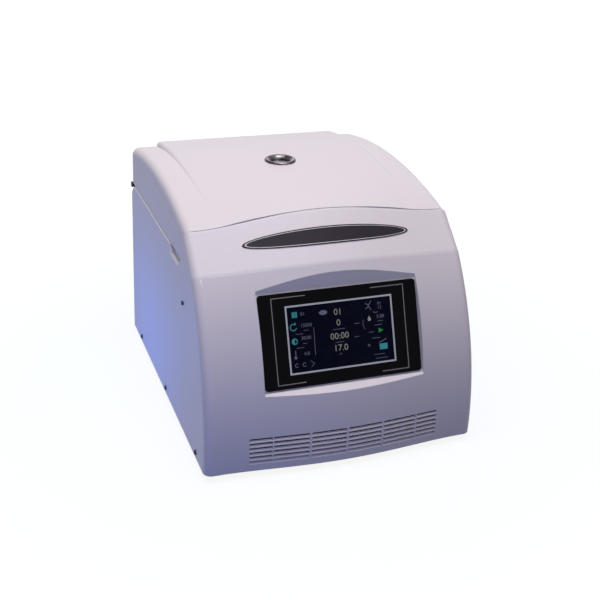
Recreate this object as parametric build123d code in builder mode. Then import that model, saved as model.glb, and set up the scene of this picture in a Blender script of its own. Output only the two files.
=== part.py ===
from build123d import *
from math import atan2, cos, radians, sin, tan
import os

os.makedirs("parts", exist_ok=True)

# Bench-top refrigerated microcentrifuge, in millimetres.
# The front faces -Y, the feet stand on Z = 0 and X = 0 is the middle of the machine.

# Outer form, side view: points of the front, brow and top at the side walls
body_width = 400.0
side_draft = 1.0
foot_height = 10.0
back_y = 243.4
front_bottom_y = -243.4
front_middle_y = -234.0
front_middle_z = 130.0
crease_y = -168.0
crease_z = 270.5
seam_y = -116.0
seam_z = 316.0
crest_y = 70.0
crest_z = 343.0
back_top_z = 327.0
crease_radius = 20.0
seam_radius = 18.0
edge_radius = 12.0

# The middle of the front and brow bulges past the flat shoulders
bow_half_width = 165.0
bow_bottom = 11.6
bow_middle = 11.0
bow_crease_y = 12.0
bow_crease_z = 8.0
bow_seam_z = 17.0

# Raised middle of the lid
lid_panel_half_width = 152.0
lid_panel_rise_back = 7.5
lid_panel_rise_crest = 3.0
lid_panel_edge = 6.0
lid_panel_dip = 2.2

# Walls, parting gaps and fits
wall = 3.0
parting_gap = 1.0
fit = 0.3
running_fit = 0.05
sheet = 2.0
screw_clearance = 0.2

# Parting line between lid and housing
side_seam_z = 268.0
lid_corner_y = -98.0
deck_thickness = 3.0
notch_top_front_y = -98.0
notch_bottom_front_y = -86.0
notch_bottom_back_y = -41.0
notch_top_back_y = -32.0
notch_depth = 10.5
notch_edge_slope = 2.5
lid_side_inset = 2.2
rear_relief_length = 18.0
rear_relief_height = 14.0
rear_relief_x = 190.5
relief_wall = 2.0

# Display
display_y = -213.0
display_z = 184.5
display_tilt = 21.0
bezel_width = 229.0
bezel_height = 129.0
bezel_thickness = 2.0
bezel_corner = 5.0
recess_margin = 1.5
recess_ledge_slope = 0.45
lcd_width = 154.4
lcd_height = 92.7
glass_thickness = 1.6
lcd_depth = 8.0
board_thickness = 1.6
display_board_width = 190.0
display_board_height = 108.0
standoff_radius = 3.0
standoff_length = 6.0

# Nameplate, a long oval on the brow
nameplate_length = 242.0
nameplate_height = 27.0
nameplate_thickness = 1.2
nameplate_y = -140.0

# Front air grille
grille_rows = 6
grille_columns = 6
grille_slot_length = 50.0
grille_end_slot_length = 32.5
grille_rib = 3.2
grille_pitch = 6.9
grille_slot_height = 3.2
grille_bottom_z = 25.0
grille_rib_slope = 2.4

# Feet, base pan and frame
foot_radius = 15.0
foot_inset_x = 50.0
foot_inset_y = 50.0
pan_z = foot_height + 1.0
pan_flange = 14.0
post_width = 20.0
post_x = 168.0
front_post_y = -20.0

# Screws
side_screw_rows = (-192.0, -5.0, 176.0)
side_screw_z = 19.0
pan_head_radius = 4.0
pan_head_height = 2.4
small_head_radius = 3.2
panel_screw_heights = (40.0, 135.0, 220.0)
screw_radius = 2.0
screw_length = 9.0

# Chamber
chamber_y = 65.0
bowl_radius = 105.0
bowl_floor_z = 165.0
bowl_sheet = 1.5
bowl_flange = 13.0
shaft_hole_radius = 14.0
coil_tube_radius = 4.0
coil_header_radius = 5.0
coil_turns = 6
coil_pitch = 14.0
coil_first_z = 178.0
insulation_thickness = 12.7
insulation_floor = 13.0
inlet_angle = -110.0
outlet_angle = -150.0
probe_radius = 2.5
probe_length = 16.0
seal_width = 12.0

# Rotor and drive
rotor_seat_z = 188.0
rotor_radius = 86.0
rotor_skirt = 8.0
rotor_rim_radius = 66.0
hub_radius = 18.0
hub_height = 26.0
tube_count = 12
tube_bore = 11.2
tube_depth = 37.0
tube_lead_in = 3.0
tube_mouth_radius = 50.0
tube_mouth_z = 226.0
knob_radius = 17.0
knob_height = 24.0
shaft_radius = 8.0
taper_radius = 6.0
thread_radius = 5.0
motor_radius = 55.0
motor_wall = 4.0
motor_length = 94.0
motor_plate_size = 150.0
motor_plate_thickness = 5.0
damper_radius = 11.0
damper_height = 18.0
damper_spacing = 124.0
bearing_radius = 13.0
bearing_height = 9.0

# Sight glass
sight_radius = 24.0
sight_seat_z = 346.0
sight_bore = 14.2
sight_neck_radius = 19.0
sight_tube_radius = 15.0
lower_glass_radius = 17.0

# Lid inner panel
liner_z = 271.0
liner_thickness = 3.0

# Hinge
hinge_x = 150.0
hinge_y = 251.0
hinge_z = 263.0
hinge_width = 30.0
hinge_middle = 12.0
knuckle_radius = 6.0
hinge_pin_radius = 2.5
hinge_leaf = 2.5
hinge_leaf_height = 30.0
hinge_screw_spacing = 16.0
damper_radius = 4.6
damper_end_x = 195.0

# Lid lock
lock_y = -82.0
lock_z = 253.0
striker_width = 24.0
striker_thickness = 4.0
bolt_width = 10.0
bolt_height = 6.0
bolt_travel = 12.0
plunger_radius = 5.0
solenoid_width = 32.0
solenoid_length = 38.0
release_y = -116.0
release_z = 212.0
release_rod_radius = 2.0
release_travel = 12.0

# Condenser and its fan
condenser_width = 236.0
condenser_depth = 38.0
condenser_height = 104.0
condenser_front_y = -216.0
fin_pitch = 6.0
fin_thickness = 1.0
condenser_tube_radius = 4.75
condenser_row_pitch = 25.0
condenser_column_pitch = 18.0
fan_size = 120.0
fan_depth = 25.0
fan_bore = 57.5
fan_hub_radius = 20.0
fan_pin_radius = 3.0
fan_blade_count = 7
fan_gap = 4.0

# Compressor and refrigerant lines
compressor_x = -125.0
compressor_y = -88.0
compressor_radius = 55.0
compressor_height = 150.0
compressor_foot_spread_x = 98.0
compressor_foot_spread_y = 80.0
line_radius = 3.2
capillary_radius = 1.6
drier_x = -95.0
drier_y = -158.0
drier_radius = 9.0
drier_length = 80.0

# Electrical parts
inlet_x = 130.0
inlet_z = 62.0
inlet_width = 27.0
inlet_height = 47.0
switch_z = 118.0
switch_width = 22.0
switch_height = 30.0
rocker_travel = 16.0
rocker_pivot_y = back_y - 1
rocker_pivot_radius = 1.2
louvre_columns = 3
louvre_rows = 12
louvre_length = 60.0
louvre_height = 4.0

# Derived places
half_width = body_width / 2
hinge_screw_columns = [
    side * hinge_x + step * hinge_screw_spacing / 2 for side in (-1, 1) for step in (-1, 1)
]
bracket_screw_z = hinge_z - hinge_leaf_height + 6
leaf_screw_z = hinge_z + 0.9 * hinge_leaf_height
post_centre_x = post_x + post_width / 2
panel_screw_places = [(side * post_centre_x, z) for side in (-1, 1) for z in panel_screw_heights]
draft_slope = tan(radians(side_draft))
deck_top_z = side_seam_z - parting_gap
deck_under_z = deck_top_z - deck_thickness
pan_top_z = pan_z + sheet
spin_axis = Axis((0, chamber_y, 0), (0, 0, 1))
spin_plane = Plane.XZ.offset(-chamber_y)
display_normal = Vector(0, -cos(radians(display_tilt)), sin(radians(display_tilt)))
display_plane = Plane(origin=(0, display_y, display_z), x_dir=(1, 0, 0), z_dir=display_normal)
brow_slope = atan2(seam_z - crease_z, seam_y - crease_y)
brow_normal = Vector(0, -sin(brow_slope), cos(brow_slope))
nameplate_z = crease_z + (nameplate_y - crease_y) * tan(brow_slope)
brow_plane = Plane(origin=(0, nameplate_y, nameplate_z), x_dir=(1, 0, 0), z_dir=brow_normal)
skirt = 2 * foot_height
far = 2 * body_width


# The outer form and everything that follows it

def side_view(x, bulge, rear_y, inset):
    """Side outline of the machine at one x, drawn inwards by inset."""
    low = (front_bottom_y - bulge * bow_bottom, foot_height)
    middle = (front_middle_y - bulge * bow_middle, front_middle_z)
    crease = (crease_y - bulge * bow_crease_y, crease_z + bulge * bow_crease_z)
    seam = (seam_y, seam_z + bulge * bow_seam_z)
    rear_top = (rear_y, back_top_z)
    with BuildSketch(Plane.YZ.offset(x)) as view:
        with BuildLine():
            ThreePointArc(low, middle, crease)
            Line(crease, seam)
            ThreePointArc(seam, (crest_y, crest_z), rear_top)
            Polyline(rear_top, (rear_y, foot_height - skirt), (low[0], foot_height - skirt), low)
        make_face()
        fillet(view.vertices().sort_by_distance((crease[0], crease[1], 0))[0], crease_radius)
        fillet(view.vertices().sort_by_distance((seam[0], seam[1], 0))[0], seam_radius)
        offset(amount=-inset, kind=Kind.INTERSECTION)
    return view.sketch


def machine_form(inset, rear_y=back_y, side_inset=0.0):
    """The closed form of the machine, moved inwards by inset all round and by side_inset left and right."""
    reach = half_width + draft_slope * 2 * skirt + wall
    views = ((-reach, 0), (-bow_half_width, 0), (0, 1), (bow_half_width, 0), (reach, 0))
    low_half = half_width - inset - side_inset + draft_slope * 2 * skirt
    high_half = half_width - inset - side_inset - draft_slope * far / 2
    with BuildPart() as form:
        loft([side_view(x, bulge, rear_y, inset) for x, bulge in views])
        with BuildSketch(Plane.XZ.offset(-far / 2)):
            with BuildLine():
                Polyline(
                    (-low_half, foot_height - 2 * skirt),
                    (low_half, foot_height - 2 * skirt),
                    (high_half, foot_height + far / 2),
                    (-high_half, foot_height + far / 2),
                    close=True,
                )
            make_face()
        extrude(amount=far, mode=Mode.INTERSECT)
        for side in (0, -1):
            flank = form.faces().sort_by(Axis.X)[side]
            rim = [
                edge
                for edge in flank.edges()
                if edge.center().Z > foot_height and edge.center().Y < rear_y - inset - 1
            ]
            fillet(rim, edge_radius - inset)
    return form.part


def lid_zone(forward, down):
    """The space that belongs to the lid, grown forwards and downwards."""
    corner_y = lid_corner_y - forward + down * (lid_corner_y - seam_y) / (seam_z - side_seam_z)
    with BuildPart() as zone:
        with BuildSketch(Plane.YZ):
            with BuildLine():
                Polyline(
                    (seam_y - forward, far),
                    (seam_y - forward, seam_z),
                    (corner_y, side_seam_z - down),
                    (far, side_seam_z - down),
                    (far, far),
                    close=True,
                )
            make_face()
        extrude(amount=far / 2, both=True)
    return zone.part


def notch_profile(grow):
    """Side outline of a finger notch, open at the top, grown outwards."""
    floor_z = deck_top_z - notch_depth
    with BuildSketch(Plane.YZ) as notch:
        with BuildLine():
            Polyline(
                (notch_top_front_y - grow, side_seam_z),
                (notch_bottom_front_y - grow, floor_z - grow),
                (notch_bottom_back_y + grow, floor_z - grow),
                (notch_top_back_y + grow, side_seam_z),
                close=True,
            )
        make_face()
    return notch.sketch


def layer(low, high):
    """A slab across the whole machine between two heights."""
    with BuildPart() as slab:
        with BuildSketch(Plane.XY.offset(low)):
            Rectangle(far, far)
        extrude(amount=high - low)
    return slab.part


def upright(x, y, z, width, depth, height, mode=Mode.ADD):
    """A block on a horizontal plane: centre x and y, underside z."""
    with BuildSketch(Plane.XY.offset(z)) as base:
        with Locations((x, y)):
            Rectangle(width, depth)
    return extrude(base.sketch, amount=height, mode=mode)


def column(x, y, z, radius, height, mode=Mode.ADD):
    """A round column on a horizontal plane."""
    with BuildSketch(Plane.XY.offset(z)) as base:
        with Locations((x, y)):
            Circle(radius)
    return extrude(base.sketch, amount=height, mode=mode)


def across(x, y, z, radius, length, mode=Mode.ADD):
    """A round rod that starts at x and runs along +X."""
    with BuildSketch(Plane.YZ.offset(x)) as base:
        with Locations((y, z)):
            Circle(radius)
    return extrude(base.sketch, amount=length, mode=mode)


def backwards(x, y, z, radius, length, mode=Mode.ADD):
    """A round rod that starts at y and runs along +Y."""
    with BuildSketch(Plane.XZ.offset(-y)) as base:
        with Locations((x, z)):
            Circle(radius)
    return extrude(base.sketch, amount=-length, mode=mode)


def half_profile(points):
    """A closed profile of (radius, height) points beside the spin axis."""
    with BuildSketch(spin_plane) as profile:
        with BuildLine():
            Polyline(*points, close=True)
        make_face()
    return profile.sketch


def pipe(points, bend, radius):
    """A round pipe along straight runs with rounded corners."""
    with BuildPart() as tube:
        with BuildLine() as route:
            FilletPolyline(*points, radius=bend)
        with BuildSketch(Plane(origin=route.line @ 0, z_dir=route.line % 0)):
            Circle(radius)
        sweep(path=route.line)
    return tube.part


def save(piece, name):
    """Label a finished piece and write its file."""
    piece.part.label = name
    export_step(piece.part, f"parts/{name}.step")


def rear_relief(grow):
    """The space cut off both rear top corners of the base, so that the lid's corners can swing."""
    slope = rear_relief_height / rear_relief_length
    low_z = deck_top_z - rear_relief_height - grow - slope * (skirt + grow)
    front_y = back_y - rear_relief_length - grow
    with BuildPart() as relief:
        with BuildSketch(Plane.YZ):
            with BuildLine():
                Polyline(
                    (back_y + skirt, low_z),
                    (front_y, low_z + slope * (back_y + skirt - front_y)),
                    (front_y, far),
                    (back_y + skirt, far),
                    close=True,
                )
            make_face()
        extrude(amount=half_width + skirt, both=True)
        upright(0, back_y, -far, 2 * (rear_relief_x - grow), far, 3 * far, Mode.SUBTRACT)
    return relief.part


outer_form = machine_form(0)
cavity_form = machine_form(wall, rear_y=back_y + skirt)
inside_form = machine_form(wall + fit, rear_y=back_y - sheet + wall)
inside_flange_form = machine_form(wall + fit + sheet, rear_y=back_y - sheet + wall)
lid_form = machine_form(0, side_inset=lid_side_inset)
lid_hollow_form = machine_form(wall, side_inset=lid_side_inset)
lid_inside_form = machine_form(wall + fit, side_inset=lid_side_inset)
lid_foam_form = machine_form(wall + 2 * fit, side_inset=lid_side_inset)
corner_relief = rear_relief(0)
corner_pocket = rear_relief(relief_wall)


# Housing: one moulded shell for the front, the brow and both sides

board_front = -bezel_thickness - wall - standoff_length
grille_middle_pitch = grille_slot_length + grille_rib
grille_columns_at = [
    (index - (grille_columns - 3) / 2) * grille_middle_pitch for index in range(grille_columns - 2)
]
grille_end_x = (
    (grille_columns - 2) / 2 * grille_middle_pitch + grille_end_slot_length / 2
)
screw_hole_radius = screw_radius + screw_clearance
side_wall_x = half_width - draft_slope * (side_screw_z - pan_head_radius - foot_height)
release_wall_x = half_width - draft_slope * (release_z - foot_height)

def recess_side(grow):
    """Side outline of the space in front of the display, grown into the machine.

    A flat floor behind the bezel, an upright wall above it and a sloping ledge below.
    """
    lean = radians(display_tilt)
    reach = bezel_height / 2 + recess_margin + grow
    depth = bezel_thickness + grow
    floor_y = display_y + depth * cos(lean)
    floor_z = display_z - depth * sin(lean)
    floor_low = (floor_y - reach * sin(lean), floor_z - reach * cos(lean))
    floor_high = (floor_y + reach * sin(lean), floor_z + reach * cos(lean))
    with BuildSketch(Plane.YZ) as side:
        with BuildLine():
            Polyline(
                floor_low,
                floor_high,
                (floor_high[0], floor_high[1] + bezel_height),
                (floor_high[0] - bezel_height, floor_high[1] + bezel_height),
                (floor_low[0] - bezel_height, floor_low[1] - bezel_height * recess_ledge_slope),
                close=True,
            )
        make_face()
    return side.sketch


with BuildPart() as display_backing:
    extrude(recess_side(wall), amount=bezel_width / 2 + recess_margin + wall, both=True)

with BuildPart() as housing:
    add(outer_form)
    add(cavity_form - display_backing.part, mode=Mode.SUBTRACT)
    add(lid_zone(parting_gap, parting_gap), mode=Mode.SUBTRACT)
    # A small wall closes the body where its rear top corners are cut off
    add((corner_pocket & cavity_form & outer_form) - corner_relief - lid_zone(parting_gap, parting_gap))
    add(corner_relief, mode=Mode.SUBTRACT)
    add(layer(-far, foot_height), mode=Mode.SUBTRACT)
    # Recess of the display: it runs out in a shallow arc under the brow
    extrude(recess_side(0), amount=bezel_width / 2 + recess_margin, both=True, mode=Mode.SUBTRACT)
    with BuildSketch(display_plane.offset(-bezel_thickness - 2 * wall)):
        Rectangle(lcd_width + 2 * wall, lcd_height + 2 * wall)
    extrude(amount=3 * wall, mode=Mode.SUBTRACT)
    # Bosses that carry the display's board
    with BuildSketch(display_plane.offset(board_front)):
        boss_span = (display_board_width - 4 * standoff_radius, display_board_height - 4 * standoff_radius)
        with GridLocations(*boss_span, 2, 2):
            Circle(standoff_radius)
    extrude(amount=standoff_length + wall / 2)
    # Grille slots, two half-length ones at the ends of each row
    with BuildSketch(Plane.XZ.offset(-front_middle_y)):
        for row in range(grille_rows):
            slot_z = grille_bottom_z + row * grille_pitch
            with Locations(*[(x, slot_z) for x in grille_columns_at]):
                Rectangle(grille_slot_length, grille_slot_height)
            with Locations((-grille_end_x, slot_z), (grille_end_x, slot_z)):
                Rectangle(grille_end_slot_length, grille_slot_height)
    extrude(amount=skirt + wall, both=True, mode=Mode.SUBTRACT)
    # The top of each rib slopes outwards, so that the slots face up a little
    slot_edges = [edge for edge in housing.edges() if edge.length > grille_end_slot_length / 2]
    rib_edges = []
    for row in range(grille_rows):
        floor_z = grille_bottom_z + row * grille_pitch - grille_slot_height / 2
        for x in (-grille_end_x, *grille_columns_at, grille_end_x):
            on_floor = [
                edge
                for edge in slot_edges
                if abs(edge.center().Z - floor_z) < running_fit
                and abs(edge.center().X - x) < grille_rib
                and edge.center().Y < front_middle_y
            ]
            rib_edges.append(min(on_floor, key=lambda edge: edge.center().Y))
    chamfer(rib_edges, grille_rib_slope)
    # Finger notches under the lid's front corners
    extrude(notch_profile(0), amount=half_width + wall, both=True, mode=Mode.SUBTRACT)
    notch_floor_z = deck_top_z - notch_depth
    notch_length = notch_bottom_back_y - notch_bottom_front_y
    floor_edges = [
        edge
        for edge in housing.edges().sort_by(Axis.X)
        if abs(edge.center().Z - notch_floor_z) < running_fit
        and abs(edge.length - notch_length) < running_fit
    ]
    chamfer([floor_edges[0], floor_edges[-1]], notch_edge_slope)
    for side in (-1, 1):
        for y in side_screw_rows:
            across(side * half_width - skirt / 2, y, side_screw_z, screw_hole_radius, skirt, Mode.SUBTRACT)
    rod_hole_radius = release_rod_radius + screw_clearance
    across(-half_width - wall, release_y, release_z, rod_hole_radius, skirt, Mode.SUBTRACT)
save(housing, "housing")

with BuildPart() as nameplate:
    add(machine_form(-nameplate_thickness))
    add(outer_form, mode=Mode.SUBTRACT)
    with BuildSketch(brow_plane):
        Ellipse(nameplate_length / 2, nameplate_height / 2)
    extrude(amount=nameplate_height, both=True, mode=Mode.INTERSECT)
save(nameplate, "nameplate")


# Display parts, stacked in the recess

with BuildPart() as display_bezel:
    with BuildSketch(display_plane.offset(-bezel_thickness)):
        RectangleRounded(bezel_width, bezel_height, bezel_corner)
        Rectangle(lcd_width, lcd_height, mode=Mode.SUBTRACT)
    extrude(amount=bezel_thickness)
save(display_bezel, "display_bezel")

with BuildPart() as touch_glass:
    with BuildSketch(display_plane.offset(-glass_thickness - screw_clearance)):
        Rectangle(lcd_width - fit, lcd_height - fit)
    extrude(amount=glass_thickness)
save(touch_glass, "touch_glass")

with BuildPart() as lcd_module:
    with BuildSketch(display_plane.offset(-bezel_thickness - lcd_depth)):
        Rectangle(lcd_width + wall, lcd_height + wall)
    extrude(amount=lcd_depth)
    fillet(lcd_module.edges().filter_by(lambda e: abs(e.tangent_at(0).dot(display_normal)) > 0.9), 1)
save(lcd_module, "lcd_module")

with BuildPart() as display_board:
    with BuildSketch(display_plane.offset(board_front - board_thickness)):
        Rectangle(display_board_width, display_board_height)
    extrude(amount=board_thickness)
    with BuildSketch(display_plane.offset(board_front - board_thickness)):
        with Locations((-50, 20), (40, 25)):
            Rectangle(24, 24)
        with Locations((-60, -35), (0, -38), (60, -35)):
            Rectangle(34, 9)
        with Locations((70, 10)):
            Rectangle(14, 40)
    extrude(amount=-8)
save(display_board, "display_board")


# Base pan, feet and frame

with BuildPart() as base_pan:
    add(inside_form)
    add(layer(pan_z, pan_top_z + pan_flange - sheet), mode=Mode.INTERSECT)
    add(inside_flange_form & layer(pan_top_z, pan_top_z + pan_flange), mode=Mode.SUBTRACT)
    for side in (-1, 1):
        for y in side_screw_rows:
            across(side * half_width - skirt, y, side_screw_z, screw_hole_radius, 2 * skirt, Mode.SUBTRACT)
save(base_pan, "base_pan")

foot_x = half_width - foot_inset_x
foot_y = back_y - foot_inset_y
with BuildPart() as feet:
    with BuildSketch(Plane.XY.offset(pan_z)):
        with GridLocations(2 * foot_x, 2 * foot_y, 2, 2):
            Circle(foot_radius)
    extrude(amount=-pan_z, taper=6)
    with BuildSketch(Plane.XY):
        with GridLocations(2 * foot_x, 2 * foot_y, 2, 2):
            Circle(foot_radius / 3)
    extrude(amount=pan_z / 2, mode=Mode.SUBTRACT)
save(feet, "feet")

rear_inner_y = back_y - sheet
post_length = deck_under_z - pan_top_z
with BuildPart() as frame_posts:
    for side in (-1, 1):
        flange_x = side * (post_x + post_width / 2)
        web_x = side * (post_x + post_width - sheet / 2)
        upright(flange_x, front_post_y, pan_top_z, post_width, sheet, post_length)
        upright(web_x, front_post_y + post_width / 2, pan_top_z, sheet, post_width, post_length)
        upright(flange_x, rear_inner_y - fit - sheet / 2, pan_top_z, post_width, sheet, post_length)
        upright(web_x, rear_inner_y - fit - post_width / 2, pan_top_z, sheet, post_width, post_length)
    # The pan's flange stands where the rear posts would go, so their feet are cut back to it
    add(base_pan.part, mode=Mode.SUBTRACT)
    for x, z in panel_screw_places:
        backwards(x, rear_inner_y - screw_length, z, screw_hole_radius, 2 * screw_length, Mode.SUBTRACT)
save(frame_posts, "frame_posts")

with BuildPart() as side_screws:
    for side in (-1, 1):
        head_x = side_wall_x if side > 0 else -side_wall_x - pan_head_height
        shank_x = side_wall_x - screw_length if side > 0 else -side_wall_x
        for y in side_screw_rows:
            across(head_x, y, side_screw_z, pan_head_radius, pan_head_height)
            across(shank_x, y, side_screw_z, screw_radius, screw_length)
    by_x = side_screws.faces().sort_by(Axis.X)
    rows = len(side_screw_rows)
    fillet([face.edges()[0] for face in by_x[:rows] + by_x[-rows:]], pan_head_height / 2)
save(side_screws, "side_screws")


# Top deck under the lid, with the bulkhead that closes the front compartment

opening_radius = bowl_radius + bowl_sheet
pocket_depth = 6.5
pocket_wall = 2.0
pocket_inner_x = half_width - wall - pocket_depth
with BuildPart() as finger_space:
    extrude(notch_profile(0), amount=half_width, both=True)
    upright(0, chamber_y, 0, 2 * pocket_inner_x, far, far, Mode.SUBTRACT)

with BuildPart() as finger_pockets:
    add(inside_form)
    extrude(notch_profile(pocket_wall), amount=half_width, both=True, mode=Mode.INTERSECT)
    add(layer(0, deck_top_z), mode=Mode.INTERSECT)
    upright(0, chamber_y, 0, 2 * (pocket_inner_x - pocket_wall), far, far, Mode.SUBTRACT)

slot_half_x = striker_width / 2 + 2
slot_depth = striker_thickness + 6
with BuildPart() as top_deck:
    add(inside_form)
    thick = parting_gap + deck_thickness
    add(lid_zone(thick, thick) - lid_zone(parting_gap, parting_gap), mode=Mode.INTERSECT)
    add(finger_pockets.part)
    add(finger_space.part, mode=Mode.SUBTRACT)
    column(0, chamber_y, deck_under_z - wall, opening_radius, 3 * wall, Mode.SUBTRACT)
    upright(0, lock_y, deck_under_z - wall, 2 * slot_half_x, slot_depth, 3 * wall, Mode.SUBTRACT)
    add(corner_pocket, mode=Mode.SUBTRACT)
save(top_deck, "top_deck")

seal_inner = opening_radius + 3.5
with BuildPart() as chamber_seal:
    seal_height = liner_z - deck_top_z - fit
    add(half_profile([
        (seal_inner, deck_top_z),
        (seal_inner + seal_width, deck_top_z),
        (seal_inner + 0.8 * seal_width, deck_top_z + seal_height),
        (seal_inner + 0.3 * seal_width, deck_top_z + seal_height),
    ]))
    revolve(axis=spin_axis)
save(chamber_seal, "chamber_seal")


# Lid: outer shell, inner panel, foam, striker and sight glass

with BuildPart() as lid_shell:
    add(lid_form)
    with BuildPart(mode=Mode.PRIVATE) as raised_panel:
        views = []
        for x, front_z in (
            (-lid_panel_half_width, seam_z),
            (0, seam_z + bow_seam_z),
            (lid_panel_half_width, seam_z),
        ):
            front = (seam_y - 2 * wall, front_z - lid_panel_dip)
            back = (back_y, back_top_z + lid_panel_rise_back)
            with BuildSketch(Plane.YZ.offset(x)) as view:
                with BuildLine():
                    ThreePointArc(front, (crest_y, crest_z + lid_panel_rise_crest), back)
                    Polyline(back, (back_y, liner_z + skirt), (seam_y - 2 * wall, liner_z + skirt), front)
                make_face()
            views.append(view.sketch)
        loft(views)
        by_x = raised_panel.faces().sort_by(Axis.X)
        top_edges = by_x[0].edges() + by_x[-1].edges()
        fillet([e for e in top_edges if e.length > bowl_radius and e.center().Z > seam_z], lid_panel_edge)
    add(raised_panel.part)
    add(lid_zone(0, 0), mode=Mode.INTERSECT)
    add(lid_hollow_form & lid_zone(-wall, wall), mode=Mode.SUBTRACT)
    column(0, chamber_y, sight_seat_z, sight_radius + screw_clearance, skirt, Mode.SUBTRACT)
    column(0, chamber_y, side_seam_z, sight_neck_radius + screw_clearance, far / 4, Mode.SUBTRACT)
    for x in hinge_screw_columns:
        backwards(x, back_y - skirt, leaf_screw_z, screw_radius + screw_clearance, 2 * skirt, Mode.SUBTRACT)
save(lid_shell, "lid_shell")

with BuildPart() as lid_liner:
    add(lid_inside_form)
    add(lid_zone(-wall - fit, 0), mode=Mode.INTERSECT)
    add(layer(liner_z, liner_z + liner_thickness), mode=Mode.INTERSECT)
    glass_hole_radius = lower_glass_radius + screw_clearance
    column(0, chamber_y, liner_z - 1, glass_hole_radius, liner_thickness + 2, Mode.SUBTRACT)
save(lid_liner, "lid_liner")

foam_z = liner_z + liner_thickness + fit
with BuildPart() as lid_foam:
    add(lid_foam_form)
    add(lid_zone(-wall - 2 * fit, 0), mode=Mode.INTERSECT)
    add(layer(foam_z, far), mode=Mode.INTERSECT)
    column(0, chamber_y, foam_z - 1, sight_tube_radius + fit, far / 4, Mode.SUBTRACT)
    column(0, chamber_y, sight_seat_z - skirt, sight_neck_radius + fit, far / 4, Mode.SUBTRACT)
    for x in (-hinge_x, hinge_x):
        upright(x, back_y, foam_z - 1, hinge_width, 2 * skirt, hinge_leaf_height, Mode.SUBTRACT)
save(lid_foam, "lid_foam")

glass_lip_z = sight_seat_z - 3.5
glass_bottom_z = glass_lip_z - 2.8
with BuildPart() as sight_ring:
    with BuildSketch(spin_plane):
        with BuildLine():
            rim = (sight_radius, sight_seat_z + 0.9)
            crown = (sight_radius - 3.4, sight_seat_z + 3.2)
            throat = (sight_bore, sight_seat_z - 1.8)
            Polyline((sight_radius, sight_seat_z), rim)
            ThreePointArc(rim, (sight_radius - 1.2, sight_seat_z + 2.7), crown)
            ThreePointArc(crown, (sight_radius - 7.6, sight_seat_z + 1.2), throat)
            Polyline(
                throat,
                (sight_bore, glass_lip_z),
                (sight_tube_radius + screw_clearance, glass_lip_z),
                (sight_tube_radius + screw_clearance, sight_seat_z - foot_height),
                (sight_neck_radius, sight_seat_z - foot_height),
                (sight_neck_radius, sight_seat_z),
                (sight_radius, sight_seat_z),
            )
        make_face()
    revolve(axis=spin_axis)
save(sight_ring, "sight_ring")

with BuildPart() as sight_glass:
    column(0, chamber_y, glass_bottom_z, sight_tube_radius, glass_lip_z - glass_bottom_z)
    fillet(sight_glass.edges().sort_by(Axis.Z)[-1], 0.6)
save(sight_glass, "sight_glass")

with BuildPart() as sight_tube:
    tube_bottom_z = liner_z + liner_thickness
    column(0, chamber_y, tube_bottom_z, sight_tube_radius, glass_bottom_z - tube_bottom_z)
    column(0, chamber_y, liner_z, sight_tube_radius - 2, far / 4, Mode.SUBTRACT)
save(sight_tube, "sight_tube")

with BuildPart() as lower_sight_glass:
    column(0, chamber_y, liner_z, lower_glass_radius, liner_thickness)
    fillet(lower_sight_glass.edges().sort_by(Axis.Z)[0], 0.6)
save(lower_sight_glass, "lower_sight_glass")

striker_bottom_z = lock_z - bolt_height - 4
with BuildPart() as lid_striker:
    upright(0, lock_y, liner_z - 2.5, striker_width + 12, 18, 2.5)
    upright(0, lock_y, striker_bottom_z, striker_width, striker_thickness, liner_z - striker_bottom_z)
    window_low_z = lock_z - bolt_height / 2 - 1.5
    upright(0, lock_y, window_low_z, bolt_width + 4, 2 * striker_thickness, bolt_height + 3, Mode.SUBTRACT)
    bottom_corners = lid_striker.edges().filter_by(Axis.Y).group_by(Axis.Z)[0]
    fillet(bottom_corners, 3)
save(lid_striker, "lid_striker")


# Rear panel with louvres, inlet, switch and hinges

louvre_pitch_x = louvre_length + 3 * louvre_height
louvre_centre_x = -60.0
louvre_centre_z = 130.0
with BuildPart() as rear_panel:
    add(machine_form(wall + fit, rear_y=back_y + skirt))
    add(layer(pan_z, deck_top_z), mode=Mode.INTERSECT)
    upright(0, back_y - sheet / 2, 0, body_width, sheet, far / 2, Mode.INTERSECT)
    with BuildSketch(Plane.XZ.offset(-back_y)):
        with Locations((louvre_centre_x, louvre_centre_z)):
            with GridLocations(louvre_pitch_x, 3 * louvre_height, louvre_columns, louvre_rows):
                SlotOverall(louvre_length, louvre_height)
        with Locations((inlet_x, inlet_z)):
            Rectangle(inlet_width + 2 * screw_clearance, inlet_height + 2 * screw_clearance)
        with Locations((inlet_x, switch_z)):
            Rectangle(switch_width + 2 * screw_clearance, switch_height + 2 * screw_clearance)
        with Locations(*[(x, bracket_screw_z) for x in hinge_screw_columns], *panel_screw_places):
            Circle(screw_radius + screw_clearance)
    extrude(amount=skirt, both=True, mode=Mode.SUBTRACT)
    add(corner_pocket, mode=Mode.SUBTRACT)
save(rear_panel, "rear_panel")

hinge_outer = (hinge_width - hinge_middle) / 2 - fit
hinge_outer_x = hinge_middle / 2 + fit + hinge_outer / 2
base_leaf_low_z = hinge_z - hinge_leaf_height - 4
base_leaf_high_z = hinge_z - knuckle_radius - 1
lid_leaf_low_z = hinge_z + knuckle_radius + fit
lid_leaf_high_z = hinge_z + knuckle_radius + hinge_leaf_height
leaf_face_y = back_y + hinge_leaf

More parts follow.
